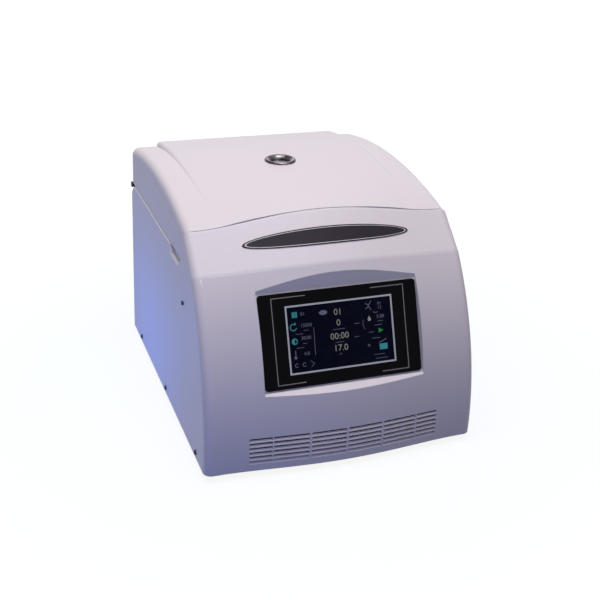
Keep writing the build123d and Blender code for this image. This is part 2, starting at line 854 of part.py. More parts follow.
with BuildPart() as hinge_brackets:
    for side in (-1, 1):
        with BuildSketch(Plane.XZ.offset(-back_y)):
            with Locations((side * hinge_x, (base_leaf_low_z + base_leaf_high_z) / 2)):
                Rectangle(hinge_width, base_leaf_high_z - base_leaf_low_z)
            with Locations((side * hinge_x, bracket_screw_z)):
                with GridLocations(hinge_screw_spacing, 1, 2, 1):
                    Circle(screw_radius + screw_clearance, mode=Mode.SUBTRACT)
        extrude(amount=-hinge_leaf)
        for arm in (-1, 1):
            with BuildSketch(Plane.YZ.offset(side * hinge_x + arm * hinge_outer_x - hinge_outer / 2)):
                with BuildLine():
                    Polyline(
                        (back_y, base_leaf_high_z - 12),
                        (leaf_face_y, base_leaf_high_z - 12),
                        (hinge_y + knuckle_radius, hinge_z),
                        (hinge_y, hinge_z),
                        (back_y, base_leaf_high_z),
                        close=True,
                    )
                make_face()
                with Locations((hinge_y, hinge_z)):
                    Circle(knuckle_radius)
                    Circle(hinge_pin_radius + running_fit, mode=Mode.SUBTRACT)
            extrude(amount=hinge_outer)
save(hinge_brackets, "hinge_brackets")

with BuildPart() as hinge_leaves:
    for side in (-1, 1):
        with BuildSketch(Plane.XZ.offset(-back_y)):
            with Locations((side * hinge_x, (lid_leaf_low_z + lid_leaf_high_z) / 2)):
                Rectangle(hinge_width, lid_leaf_high_z - lid_leaf_low_z)
            with Locations((side * hinge_x, leaf_screw_z)):
                with GridLocations(hinge_screw_spacing, 1, 2, 1):
                    Circle(screw_radius + screw_clearance, mode=Mode.SUBTRACT)
        extrude(amount=-hinge_leaf)
        with BuildSketch(Plane.YZ.offset(side * hinge_x - hinge_middle / 2)):
            with BuildLine():
                Polyline(
                    (back_y, lid_leaf_low_z),
                    (back_y, lid_leaf_low_z + 12),
                    (leaf_face_y, lid_leaf_low_z + 12),
                    (hinge_y + knuckle_radius, hinge_z),
                    (hinge_y, hinge_z),
                    close=True,
                )
            make_face()
            with Locations((hinge_y, hinge_z)):
                Circle(knuckle_radius)
                Circle(hinge_pin_radius + running_fit, mode=Mode.SUBTRACT)
        extrude(amount=hinge_middle)
save(hinge_leaves, "hinge_leaves")

# Each pin carries a friction damper that reaches out to the body's corner
with BuildPart() as hinge_pins:
    damper_start_x = hinge_x + hinge_width / 2 + fit
    damper_length = damper_end_x - damper_start_x
    pin_length = hinge_width + 2 * fit
    for side in (-1, 1):
        across(side * hinge_x - pin_length / 2, hinge_y, hinge_z, hinge_pin_radius, pin_length)
        low_x = damper_start_x if side > 0 else -damper_end_x
        across(low_x, hinge_y, hinge_z, damper_radius, damper_length)
save(hinge_pins, "hinge_pins")

with BuildPart() as rear_screws:
    for x, z in panel_screw_places:
        backwards(x, back_y, z, small_head_radius, pan_head_height)
        backwards(x, back_y - screw_length, z, screw_radius, screw_length)
    for x in hinge_screw_columns:
        backwards(x, leaf_face_y, bracket_screw_z, small_head_radius, pan_head_height)
        backwards(x, leaf_face_y - screw_length, bracket_screw_z, screw_radius, screw_length)
save(rear_screws, "rear_screws")

with BuildPart() as hinge_leaf_screws:
    for x in hinge_screw_columns:
        backwards(x, leaf_face_y, leaf_screw_z, small_head_radius, pan_head_height)
        backwards(x, leaf_face_y - screw_length, leaf_screw_z, screw_radius, screw_length)
save(hinge_leaf_screws, "hinge_leaf_screws")


# Lid lock: solenoid bolt and the emergency release rod

striker_front_y = lock_y - striker_thickness / 2
bolt_tip_y = striker_front_y - 2.5
guide_y = bolt_tip_y - 9
solenoid_y = guide_y - sheet - bolt_travel - 1 - solenoid_length
bracket_z = deck_under_z - sheet
ear_x = -solenoid_width / 2 - 14
with BuildPart() as lock_bracket:
    plate_length = lock_y + 12 - solenoid_y
    upright(0, solenoid_y + plate_length / 2, bracket_z, solenoid_width + 16, plate_length, sheet)
    upright(0, lock_y, bracket_z - 1, 2 * slot_half_x, slot_depth, sheet + 2, Mode.SUBTRACT)
    upright(0, guide_y - sheet / 2, lock_z - 12, solenoid_width + 16, sheet, bracket_z - lock_z + 12)
    with BuildSketch(Plane.XZ.offset(-guide_y + 1)):
        with Locations((0, lock_z)):
            Rectangle(bolt_width + 1, bolt_height + 1)
    extrude(amount=sheet + 3, both=True, mode=Mode.SUBTRACT)
    # Ear that guides the inner end of the emergency release rod
    plate_edge_x = -solenoid_width / 2 - 8
    ear_reach = plate_edge_x - ear_x + sheet
    upright(plate_edge_x + sheet - ear_reach / 2, release_y, bracket_z, ear_reach, 16, sheet)
    upright(ear_x, release_y, release_z - 8, sheet, 16, bracket_z + sheet - release_z + 8)
    across(ear_x - sheet, release_y, release_z, rod_hole_radius, 2 * sheet, Mode.SUBTRACT)
save(lock_bracket, "lock_bracket")

with BuildPart() as lock_solenoid:
    upright(0, solenoid_y + solenoid_length / 2, bracket_z - 22, solenoid_width, solenoid_length, 22)
    fillet(lock_solenoid.edges().filter_by(Axis.Y), 2)
    backwards(0, solenoid_y + 4, lock_z, plunger_radius + screw_clearance, solenoid_length, Mode.SUBTRACT)
save(lock_solenoid, "lock_solenoid")

with BuildPart() as lock_bolt:
    with BuildSketch(Plane.XZ.offset(-bolt_tip_y)):
        with Locations((0, lock_z)):
            Rectangle(bolt_width, bolt_height)
    extrude(amount=bolt_tip_y - guide_y + sheet + bolt_travel)
    chamfer(lock_bolt.faces().sort_by(Axis.Y)[-1].edges().filter_by(Axis.X), 1.5)
    backwards(0, solenoid_y + 5, lock_z, plunger_radius, guide_y - sheet - bolt_travel - solenoid_y - 5)
save(lock_bolt, "lock_bolt")

release_end_x = ear_x + release_travel + 4
with BuildPart() as release_pull:
    across(-release_wall_x - 2 - fit, release_y, release_z, release_rod_radius + 1, 2)
    rod_length = release_wall_x + 1 + release_end_x
    across(-release_wall_x - 1, release_y, release_z, release_rod_radius, rod_length)
    across(release_end_x - 2, release_y, release_z, release_rod_radius + 2, 2)
save(release_pull, "release_pull")


# Chamber: steel bowl, evaporator coil, insulation and probe

bowl_outer = bowl_radius + bowl_sheet
bowl_under_z = bowl_floor_z - bowl_sheet
flange_z = deck_under_z - bowl_sheet
with BuildPart() as bowl:
    add(half_profile([
        (shaft_hole_radius, bowl_under_z),
        (bowl_outer - 14, bowl_under_z),
        (bowl_outer, bowl_under_z + 14),
        (bowl_outer, flange_z),
        (bowl_outer + bowl_flange, flange_z),
        (bowl_outer + bowl_flange, deck_under_z),
        (bowl_radius, deck_under_z),
        (bowl_radius, bowl_floor_z + 14),
        (bowl_radius - 14, bowl_floor_z),
        (shaft_hole_radius, bowl_floor_z),
    ]))
    revolve(axis=spin_axis)
save(bowl, "bowl")

coil_ring_radius = bowl_outer + coil_header_radius + fit
insulation_inner = coil_ring_radius + coil_header_radius + fit
insulation_outer = insulation_inner + insulation_thickness
coil_last_z = coil_first_z + (coil_turns - 1) * coil_pitch
stub_reach = insulation_outer + 7 - coil_ring_radius
coil_inlet_z = coil_first_z + coil_pitch / 2
coil_outlet_z = coil_last_z - coil_pitch / 2


def chamber_point(angle, radius, z):
    """A point at one angle and radius about the chamber's axis."""
    turn = radians(angle)
    return (radius * cos(turn), chamber_y + radius * sin(turn), z)


def radial_plane(angle, radius, z):
    """A plane whose normal points outwards from the chamber's axis."""
    turn = radians(angle)
    return Plane(origin=chamber_point(angle, radius, z), z_dir=(cos(turn), sin(turn), 0))


with BuildPart() as evaporator_coil:
    with BuildSketch(spin_plane):
        turn_heights = [coil_first_z + turn * coil_pitch for turn in range(coil_turns)]
        with Locations(*[(coil_ring_radius, height) for height in turn_heights]):
            Circle(coil_tube_radius)
    revolve(axis=spin_axis)
    for angle, z in ((inlet_angle, coil_inlet_z), (outlet_angle, coil_outlet_z)):
        header = chamber_point(angle, coil_ring_radius, 0)
        column(header[0], header[1], coil_first_z - 2, coil_header_radius, coil_last_z - coil_first_z + 4)
        with BuildSketch(radial_plane(angle, coil_ring_radius, z)):
            Circle(line_radius)
        extrude(amount=stub_reach)
save(evaporator_coil, "evaporator_coil")

insulation_floor_z = bowl_under_z - fit - insulation_floor
insulation_hole = shaft_hole_radius + 7
with BuildPart() as insulation:
    add(half_profile([
        (insulation_hole, insulation_floor_z),
        (insulation_outer, insulation_floor_z),
        (insulation_outer, flange_z - fit),
        (insulation_inner, flange_z - fit),
        (insulation_inner, bowl_under_z - fit),
        (insulation_hole, bowl_under_z - fit),
    ]))
    revolve(axis=spin_axis)
    for angle, z in ((inlet_angle, coil_inlet_z), (outlet_angle, coil_outlet_z)):
        with BuildSketch(radial_plane(angle, coil_ring_radius, z)):
            Circle(line_radius + fit)
        extrude(amount=stub_reach, mode=Mode.SUBTRACT)
save(insulation, "insulation")

with BuildPart() as temperature_probe:
    probe = chamber_point(100, bowl_radius - 20, 0)
    column(probe[0], probe[1], bowl_floor_z, probe_radius, probe_length)
    column(probe[0], probe[1], bowl_floor_z, 2 * probe_radius, 2)
    fillet(temperature_probe.edges().sort_by(Axis.Z)[-1], probe_radius * 0.6)
save(temperature_probe, "temperature_probe")


# Drive: motor on rubber dampers, shaft, rotor and its knob

motor_plate_z = pan_top_z + damper_height
motor_z = motor_plate_z + motor_plate_thickness
motor_top_z = motor_z + motor_length
cap_thickness = 10.0
lower_bearing_z = motor_z + 2
upper_bearing_z = motor_top_z - 3
shaft_clear = shaft_radius + 1
bearing_seat = bearing_radius + running_fit

with BuildPart() as rubber_mounts:
    # One pattern under the motor's plate and one under the compressor's
    for low, high, groove in ((0, 1, 0), (1 / 3, 2 / 3, damper_radius - 2)):
        with BuildSketch(Plane.XY.offset(pan_top_z + low * damper_height)):
            with Locations((0, chamber_y)):
                with GridLocations(damper_spacing, damper_spacing, 2, 2):
                    Circle(damper_radius)
            with Locations((compressor_x, compressor_y)):
                with GridLocations(compressor_foot_spread_x, compressor_foot_spread_y, 2, 2):
                    Circle(damper_radius)
            if groove:
                with Locations((0, chamber_y)):
                    with GridLocations(damper_spacing, damper_spacing, 2, 2):
                        Circle(groove, mode=Mode.SUBTRACT)
                with Locations((compressor_x, compressor_y)):
                    with GridLocations(compressor_foot_spread_x, compressor_foot_spread_y, 2, 2):
                        Circle(groove, mode=Mode.SUBTRACT)
        extrude(amount=(high - low) * damper_height, mode=Mode.SUBTRACT if groove else Mode.ADD)
save(rubber_mounts, "rubber_mounts")

with BuildPart() as motor_plate:
    with BuildSketch(Plane.XY.offset(motor_plate_z)):
        with Locations((0, chamber_y)):
            RectangleRounded(motor_plate_size, motor_plate_size, damper_radius)
            Circle(bearing_radius, mode=Mode.SUBTRACT)
    extrude(amount=motor_plate_thickness)
save(motor_plate, "motor_plate")

motor_inner = motor_radius - motor_wall
with BuildPart() as motor_housing:
    add(half_profile([
        (shaft_clear, motor_z),
        (motor_radius, motor_z),
        (motor_radius, motor_top_z),
        (motor_inner, motor_top_z),
        (motor_inner, motor_z + 6),
        (bearing_seat + motor_wall, motor_z + 6),
        (bearing_seat + motor_wall, lower_bearing_z + bearing_height),
        (bearing_seat, lower_bearing_z + bearing_height),
        (bearing_seat, lower_bearing_z),
        (shaft_clear, lower_bearing_z),
    ]))
    revolve(axis=spin_axis)
save(motor_housing, "motor_housing")

with BuildPart() as motor_cap:
    add(half_profile([
        (shaft_clear, motor_top_z + cap_thickness),
        (motor_radius - 6, motor_top_z + cap_thickness),
        (motor_radius, motor_top_z + cap_thickness - 6),
        (motor_radius, motor_top_z),
        (bearing_seat + motor_wall, motor_top_z),
        (bearing_seat + motor_wall, upper_bearing_z),
        (bearing_seat, upper_bearing_z),
        (bearing_seat, upper_bearing_z + bearing_height),
        (shaft_clear, upper_bearing_z + bearing_height),
    ]))
    revolve(axis=spin_axis)
save(motor_cap, "motor_cap")

with BuildPart() as motor_bearings:
    for z in (lower_bearing_z, upper_bearing_z):
        add(half_profile([
            (shaft_radius + running_fit, z),
            (bearing_radius, z),
            (bearing_radius, z + bearing_height),
            (shaft_radius + running_fit, z + bearing_height),
        ]))
    revolve(axis=spin_axis)
save(motor_bearings, "motor_bearings")

stator_z = motor_z + 19
stator_length = 60.0
stator_bore = 31.0
with BuildPart() as motor_stator:
    with BuildSketch(Plane.XY.offset(stator_z)):
        with Locations((0, chamber_y)):
            Circle(motor_inner - running_fit)
            Circle(stator_bore, mode=Mode.SUBTRACT)
            with PolarLocations(stator_bore + 6, 12):
                Rectangle(13, 5, mode=Mode.SUBTRACT)
    extrude(amount=stator_length)
save(motor_stator, "motor_stator")

with BuildPart() as motor_magnets:
    add(half_profile([
        (shaft_radius + running_fit, stator_z + 2),
        (stator_bore - 0.6, stator_z + 2),
        (stator_bore - 0.6, stator_z + stator_length - 2),
        (shaft_radius + running_fit, stator_z + stator_length - 2),
    ]))
    revolve(axis=spin_axis)
save(motor_magnets, "motor_magnets")

rotor_hub_z = rotor_seat_z + hub_height
thread_top_z = rotor_hub_z + knob_height - 6
with BuildPart() as motor_shaft:
    column(0, chamber_y, lower_bearing_z, shaft_radius, rotor_seat_z - lower_bearing_z)
    column(0, chamber_y, rotor_seat_z, taper_radius, hub_height)
    column(0, chamber_y, rotor_hub_z, thread_radius, thread_top_z - rotor_hub_z)
    chamfer(motor_shaft.edges().sort_by(Axis.Z)[-1], 1)
save(motor_shaft, "motor_shaft")

boot_z = motor_top_z + cap_thickness
with BuildPart() as shaft_boot:
    add(half_profile([
        (shaft_clear + 1, boot_z),
        (shaft_hole_radius + 3, boot_z),
        (shaft_hole_radius + 3, boot_z + 3),
        (shaft_clear + 3, boot_z + 6),
        (shaft_clear + 3, bowl_under_z - 5),
        (shaft_hole_radius + 5, bowl_under_z - 3),
        (shaft_hole_radius + 5, bowl_under_z),
        (shaft_clear + 1, bowl_under_z),
    ]))
    revolve(axis=spin_axis)
save(shaft_boot, "shaft_boot")

cone_inner_radius = tube_mouth_radius - 14
cone_inner_z = tube_mouth_z - 14
rim_z = tube_mouth_z + rotor_rim_radius - tube_mouth_radius
with BuildPart() as rotor:
    add(half_profile([
        (taper_radius + running_fit, rotor_seat_z),
        (rotor_radius - 22, rotor_seat_z),
        (rotor_radius, rotor_seat_z + rotor_skirt),
        (rotor_radius, rotor_seat_z + 26),
        (rotor_rim_radius + 2, rim_z),
        (rotor_rim_radius, rim_z),
        (cone_inner_radius, cone_inner_z),
        (hub_radius, rotor_hub_z - 6),
        (hub_radius, rotor_hub_z),
        (taper_radius + running_fit, rotor_hub_z),
    ]))
    revolve(axis=spin_axis)
    for index in range(tube_count):
        turn = radians((index + 0.5) * 360 / tube_count)
        outwards = Vector(cos(turn), sin(turn), 0)
        mouth = Vector(0, chamber_y, tube_mouth_z) + outwards * tube_mouth_radius
        inwards = (outwards - Vector(0, 0, 1)).normalized()
        with BuildSketch(Plane(origin=mouth - inwards * tube_lead_in, z_dir=inwards)):
            Circle(tube_bore / 2)
        extrude(amount=tube_lead_in + tube_depth, mode=Mode.SUBTRACT)
save(rotor, "rotor")

with BuildPart() as rotor_knob:
    add(half_profile([
        (0, rotor_hub_z + fit),
        (knob_radius, rotor_hub_z + fit),
        (knob_radius, rotor_hub_z + 7),
        (knob_radius - 4, rotor_hub_z + 10),
        (knob_radius - 4, rotor_hub_z + knob_height - 2),
        (knob_radius - 6, rotor_hub_z + knob_height),
        (0, rotor_hub_z + knob_height),
    ]))
    revolve(axis=spin_axis)
    thread_length = thread_top_z - rotor_hub_z
    column(0, chamber_y, rotor_hub_z, thread_radius + running_fit, thread_length + fit, Mode.SUBTRACT)
    with BuildSketch(Plane.XY.offset(rotor_hub_z + 10)):
        with Locations((0, chamber_y)):
            with PolarLocations(knob_radius - 2.5, 8):
                Circle(2.6)
    extrude(amount=knob_height, mode=Mode.SUBTRACT)
save(rotor_knob, "rotor_knob")


# Condenser behind the front grille, with its fan

condenser_y = condenser_front_y + condenser_depth / 2
condenser_left_x = -condenser_width / 2 - 12
condenser_right_x = condenser_width / 2 + 12
tube_first_z = pan_top_z + (condenser_height - 3 * condenser_row_pitch) / 2 + 1
tube_rows = [tube_first_z + row * condenser_row_pitch for row in range(4)]
tube_front_y = condenser_y - condenser_column_pitch / 2
tube_rear_y = condenser_y + condenser_column_pitch / 2
coil_route = []
for row, z in enumerate(tube_rows):
    first_y, second_y = (tube_front_y, tube_rear_y) if row % 2 == 0 else (tube_rear_y, tube_front_y)
    coil_route += [
        (condenser_left_x, first_y, z),
        (condenser_right_x, first_y, z),
        (condenser_right_x, second_y, z),
        (condenser_left_x, second_y, z),
    ]

with BuildPart() as condenser_coil:
    add(pipe(coil_route, condenser_column_pitch / 2 - 0.1, condenser_tube_radius))
save(condenser_coil, "condenser_coil")

tube_holes = [(y, z) for y in (tube_front_y, tube_rear_y) for z in tube_rows]
fin_count = int(condenser_width / fin_pitch) - 1
with BuildPart() as condenser_fins:
    for index in range(fin_count):
        fin_x = (index - (fin_count - 1) / 2) * fin_pitch - fin_thickness / 2
        with BuildSketch(Plane.YZ.offset(fin_x)):
            with Locations((condenser_y, pan_top_z + condenser_height / 2 + 1)):
                Rectangle(condenser_depth, condenser_height - 2)
            with Locations(*tube_holes):
                Circle(condenser_tube_radius + running_fit, mode=Mode.SUBTRACT)
        extrude(amount=fin_thickness)
    # Thicker end plates with feet on the pan
    for side in (-1, 1):
        with BuildSketch(Plane.YZ.offset(side * condenser_width / 2 - sheet / 2)):
            with Locations((condenser_y, pan_top_z + condenser_height / 2)):
                Rectangle(condenser_depth + 4, condenser_height)
            with Locations(*tube_holes):
                Circle(condenser_tube_radius + running_fit, mode=Mode.SUBTRACT)
        extrude(amount=sheet)
        upright(side * (condenser_width / 2 - 4), condenser_y, pan_top_z, 8, condenser_depth + 4, 1)
save(condenser_fins, "condenser_fins")

fan_y = condenser_front_y + condenser_depth + fan_gap
fan_z = pan_top_z + fan_size / 2 + 1
fan_back_y = fan_y + fan_depth
with BuildPart() as fan_frame:
    with BuildSketch(Plane.XZ.offset(-fan_back_y)):
        with Locations((0, fan_z)):
            RectangleRounded(fan_size, fan_size, 6)
            Circle(fan_bore, mode=Mode.SUBTRACT)
            with GridLocations(fan_size - 15, fan_size - 15, 2, 2):
                Circle(screw_radius, mode=Mode.SUBTRACT)
    extrude(amount=fan_depth)
    with BuildSketch(Plane.XZ.offset(-fan_back_y)):
        with Locations((0, fan_z)):
            Circle(fan_hub_radius + 1)
            with PolarLocations((fan_bore + fan_hub_radius) / 2, 4, start_angle=45):
                Rectangle(fan_bore - fan_hub_radius + 4, 5)
    extrude(amount=3)
    backwards(0, fan_back_y - 16, fan_z, fan_pin_radius, 14)
    upright(0, fan_y + fan_depth / 2, pan_top_z, fan_size - 20, fan_depth, 1.2)
save(fan_frame, "fan_frame")

blade_plane = Plane(origin=(0, fan_y + fan_depth / 2 - 2, fan_z), x_dir=(1, 0, 0), z_dir=(0, -1, 0))
with BuildPart(blade_plane) as fan_blades:
    Cylinder(fan_hub_radius, fan_depth - 7)
    with PolarLocations((fan_hub_radius + fan_bore) / 2 - 2, fan_blade_count):
        Box(fan_bore - fan_hub_radius - 1, 26, 2, rotation=(33, 0, 0))
    backwards(0, fan_y, fan_z, fan_pin_radius + running_fit, fan_depth, Mode.SUBTRACT)
save(fan_blades, "fan_blades")


# Compressor, filter drier and refrigerant lines

compressor_plate_z = pan_top_z + damper_height
compressor_z = compressor_plate_z + 3
compressor_top_z = compressor_z + compressor_height
discharge_at = (compressor_x - 20, compressor_y)
suction_at = (compressor_x + 8, compressor_y + 16)
stub_top_z = compressor_top_z + 5

with BuildPart() as compressor:
    column(compressor_x, compressor_y, compressor_z, compressor_radius, compressor_height)
    fillet(compressor.edges().sort_by(Axis.Z)[0], compressor_radius / 4)
    fillet(compressor.edges().sort_by(Axis.Z)[-1], compressor_radius * 0.55)
    with BuildSketch(Plane.XY.offset(compressor_plate_z)):
        with Locations((compressor_x, compressor_y)):
            RectangleRounded(
                compressor_foot_spread_x + 2 * damper_radius,
                compressor_foot_spread_y + 2 * damper_radius,
                damper_radius,
            )
    extrude(amount=3)
    column(*discharge_at, compressor_top_z - 12, line_radius + 1.5, 17)
    column(*suction_at, compressor_top_z - 12, line_radius + 1.5, 17)
    upright(compressor_x + 10, compressor_y + compressor_radius + 4, compressor_z + 60, 36, 16, 44)
save(compressor, "compressor")

drier_z = pan_top_z + 32
with BuildPart() as filter_drier:
    column(drier_x, drier_y, drier_z, drier_radius, drier_length)
    fillet(filter_drier.edges(), 5)
    column(drier_x, drier_y, drier_z - 4, line_radius + 1, drier_length + 8)
save(filter_drier, "filter_drier")

stub_end = coil_ring_radius + stub_reach
with BuildPart() as copper_lines:
    # Hot gas from the compressor to the condenser
    add(pipe([
        (*discharge_at, stub_top_z),
        (*discharge_at, stub_top_z + 10),
        (discharge_at[0], drier_y, stub_top_z + 10),
        (discharge_at[0], tube_front_y, 150),
        (discharge_at[0], tube_front_y, tube_rows[-1]),
        (condenser_left_x, tube_front_y, tube_rows[-1]),
    ], 8, line_radius))
    # Liquid from the condenser to the drier
    add(pipe([
        (condenser_left_x, tube_front_y, tube_rows[0]),
        (condenser_left_x - 14, tube_front_y, tube_rows[0]),
        (condenser_left_x - 14, drier_y, tube_rows[0]),
        (drier_x, drier_y, tube_rows[0]),
        (drier_x, drier_y, drier_z - 4),
    ], 5, line_radius))
    # Capillary from the drier to the chamber's coil
    add(pipe([
        (drier_x, drier_y, drier_z + drier_length + 4),
        (drier_x, drier_y, coil_inlet_z),
        chamber_point(inlet_angle, stub_end + 30, coil_inlet_z),
        chamber_point(inlet_angle, stub_end, coil_inlet_z),
    ], 12, capillary_radius))
    # Cold gas from the chamber's coil back to the compressor
    add(pipe([
        chamber_point(outlet_angle, stub_end, coil_outlet_z),
        chamber_point(outlet_angle, stub_end + 20, coil_outlet_z),
        (suction_at[0], suction_at[1], coil_outlet_z),
        (suction_at[0], suction_at[1], stub_top_z),
    ], 9, line_radius))
save(copper_lines, "copper_lines")


# Electrical parts

board_x = 150.0
board_y = -92.0
board_width = 116.0
board_height = 120.0
board_z = pan_top_z + 14
plate_x = board_x + board_thickness + standoff_length
plate_length = board_width + 8
with BuildPart() as heat_sink:
    upright(plate_x + wall / 2, board_y, pan_top_z, wall, plate_length, board_height + 22)
    upright(plate_x - 6, board_y, pan_top_z, 15, plate_length, sheet)
    for index in range(10):
        fin_y = board_y + (index - 4.5) * 12
        upright(plate_x + wall + 7, fin_y, board_z + 10, 16, sheet, board_height - 20)
    with BuildSketch(Plane.YZ.offset(plate_x - standoff_length)):
        with Locations((board_y, board_z + board_height / 2)):
            with GridLocations(board_width - 14, board_height - 14, 2, 2):
                Circle(standoff_radius)
    extrude(amount=standoff_length)
save(heat_sink, "heat_sink")

with BuildPart() as drive_board:
    upright(board_x + board_thickness / 2, board_y, board_z, board_thickness, board_width, board_height)
    across(board_x - 30, board_y - 38, board_z + 92, 11, 30)
    across(board_x - 30, board_y - 12, board_z + 92, 11, 30)
    across(board_x - 22, board_y + 14, board_z + 92, 8, 22)
    upright(board_x - 9, board_y + 38, board_z + 76, 18, 26, 30)
    upright(board_x - 5, board_y + 30, board_z + 10, 10, 40, 14)
save(drive_board, "drive_board")

with BuildPart() as power_supply:
    upright(120, 180, pan_top_z, 96, 56, 42)
    fillet(power_supply.edges().filter_by(Axis.Z), 2)
    with BuildSketch(Plane.XY.offset(pan_top_z + 42)):
        with Locations((120, 180)):
            with GridLocations(10, 8, 8, 5):
                SlotOverall(7, 3)
    extrude(amount=-2, mode=Mode.SUBTRACT)
save(power_supply, "power_supply")

socket_z = inlet_z - 10
drawer_z = inlet_z + 14
with BuildPart() as power_inlet:
    with BuildSketch(Plane.XZ.offset(-back_y)):
        with Locations((inlet_x, inlet_z)):
            RectangleRounded(inlet_width + 5, inlet_height + 5, 2)
    extrude(amount=-sheet)
    with BuildSketch(Plane.XZ.offset(-back_y)):
        with Locations((inlet_x, inlet_z)):
            Rectangle(inlet_width, inlet_height)
    extrude(amount=24)
    with BuildSketch(Plane.XZ.offset(-back_y - sheet)):
        with Locations((inlet_x, socket_z)):
            Rectangle(24, 16)
    extrude(amount=18 + sheet, mode=Mode.SUBTRACT)
    with BuildSketch(Plane.XZ.offset(-back_y - sheet)):
        with Locations((inlet_x, drawer_z)):
            Rectangle(22 + 2 * screw_clearance, 9 + 2 * screw_clearance)
    extrude(amount=20 + sheet, mode=Mode.SUBTRACT)
save(power_inlet, "power_inlet")

with BuildPart() as inlet_pins:
    with BuildSketch(Plane.XZ.offset(-(back_y - 18))):
        with Locations((inlet_x - 7, socket_z - 2), (inlet_x, socket_z + 2), (inlet_x + 7, socket_z - 2)):
            Rectangle(2, 4)
    extrude(amount=-15)
save(inlet_pins, "inlet_pins")

with BuildPart() as fuse_drawer:
    with BuildSketch(Plane.XZ.offset(-(back_y + sheet + 0.5))):
        with Locations((inlet_x, drawer_z)):
            Rectangle(22, 9)
    extrude(amount=20)
    with BuildSketch(Plane.XZ.offset(-(back_y + sheet + 0.5))):
        with Locations((inlet_x, drawer_z)):
            Rectangle(8, 2)
    extrude(amount=1.5, mode=Mode.SUBTRACT)
save(fuse_drawer, "fuse_drawer")

rocker_y = back_y - 3
with BuildPart() as power_switch:
    with BuildSketch(Plane.XZ.offset(-back_y)):
        with Locations((inlet_x, switch_z)):
            RectangleRounded(switch_width + 4, switch_height + 4, 2)
    extrude(amount=-sheet)
    with BuildSketch(Plane.XZ.offset(-back_y)):
        with Locations((inlet_x, switch_z)):
            Rectangle(switch_width, switch_height)
    extrude(amount=18)
    with BuildSketch(Plane.XZ.offset(-back_y - sheet)):
        with Locations((inlet_x, switch_z)):
            Rectangle(switch_width - 4, switch_height - 4)
    extrude(amount=14, mode=Mode.SUBTRACT)
    pivot_hole = switch_width - 4 + 2 * (rocker_pivot_radius + fit)
    pivot_hole_radius = rocker_pivot_radius + running_fit
    across(inlet_x - pivot_hole / 2, rocker_pivot_y, switch_z, pivot_hole_radius, pivot_hole, Mode.SUBTRACT)
save(power_switch, "power_switch")

rocker_half = (switch_height - 4) / 2 - 1.5
tilt = radians(rocker_travel / 2)
with BuildPart() as power_rocker:
    with BuildSketch(Plane.YZ.offset(inlet_x - (switch_width - 5) / 2)):
        with BuildLine():
            pressed = (rocker_y + 6 - rocker_half * sin(tilt), switch_z + rocker_half * cos(tilt))
            raised = (rocker_y + 6 + rocker_half * sin(tilt), switch_z - rocker_half * cos(tilt))
            ThreePointArc(pressed, (rocker_y + 4, switch_z), raised)
            Polyline(
                raised,
                (rocker_y + 1, switch_z - rocker_half * cos(tilt) + 2),
                (rocker_y - 3, switch_z),
                (rocker_y - 1, switch_z + rocker_half * cos(tilt) - 2),
                pressed,
            )
        make_face()
    extrude(amount=switch_width - 5)
    pivot_length = switch_width - 4 + 2 * rocker_pivot_radius
    across(inlet_x - pivot_length / 2, rocker_pivot_y, switch_z, rocker_pivot_radius, pivot_length)
save(power_rocker, "power_rocker")
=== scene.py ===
import math
import bmesh
import bpy
from mathutils import Matrix, Vector
from mathutils.bvhtree import BVHTree


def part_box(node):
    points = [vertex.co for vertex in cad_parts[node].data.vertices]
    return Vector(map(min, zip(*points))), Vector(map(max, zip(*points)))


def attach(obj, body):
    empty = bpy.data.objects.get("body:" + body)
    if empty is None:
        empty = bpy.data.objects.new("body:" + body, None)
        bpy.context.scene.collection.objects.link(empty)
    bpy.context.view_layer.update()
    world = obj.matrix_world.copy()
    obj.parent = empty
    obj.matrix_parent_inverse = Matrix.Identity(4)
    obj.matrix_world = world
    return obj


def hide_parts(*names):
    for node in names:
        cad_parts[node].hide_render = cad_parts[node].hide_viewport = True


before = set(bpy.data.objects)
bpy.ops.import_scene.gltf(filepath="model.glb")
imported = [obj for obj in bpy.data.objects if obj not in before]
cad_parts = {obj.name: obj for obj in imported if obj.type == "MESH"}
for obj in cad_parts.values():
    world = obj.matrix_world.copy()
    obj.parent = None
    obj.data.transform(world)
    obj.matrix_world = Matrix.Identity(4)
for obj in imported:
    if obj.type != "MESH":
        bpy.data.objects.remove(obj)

scene = bpy.context.scene
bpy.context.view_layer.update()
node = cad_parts

# Camera: it stands in front of the machine's left front corner, a metre and a half away, and looks
# down on the lid.
camera_data = bpy.data.cameras.new("camera")
camera_data.lens = 61.97
camera_data.sensor_width = 36
camera = bpy.data.objects.new("camera", camera_data)
scene.collection.objects.link(camera)
camera_right = (0.94339, -0.33021, 0.03152)
camera_up = (0.11131, 0.40465, 0.90768)
camera_back = (-0.31248, -0.85277, 0.41850)
camera_turn = Matrix((camera_right, camera_up, camera_back)).transposed().to_4x4()
camera.matrix_world = Matrix.Translation((-0.4863, -1.3716, 0.8117)) @ camera_turn
scene.camera = camera
scene.view_settings.view_transform = "Standard"

# Studio: a wide white floor, one large soft lamp over the lid, a weaker one in front and two cool ones low
# on the left. The eye, glass and metal see the surroundings as plain white.
top_lamp_power = 39.0
front_lamp_power = 1.6
cool_lamp_power = 1.05
cool_side_power = 0.65
world_strength = 0.12


def wire(tree, kind, sockets, **settings):
    """Adds a shader node. Each socket is joined to another node's output or holds a plain value."""
    made = tree.nodes.new(kind)
    for label, value in settings.items():
        setattr(made, label, value)
    for label, value in sockets.items():
        if isinstance(value, bpy.types.NodeSocket):
            tree.links.new(value, made.inputs[label])
        else:
            made.inputs[label].default_value = value
    return made


def reckon(tree, operation, *values):
    """The result of one calculation with outputs and plain numbers."""
    return wire(tree, "ShaderNodeMath", dict(enumerate(values)), operation=operation).outputs[0]


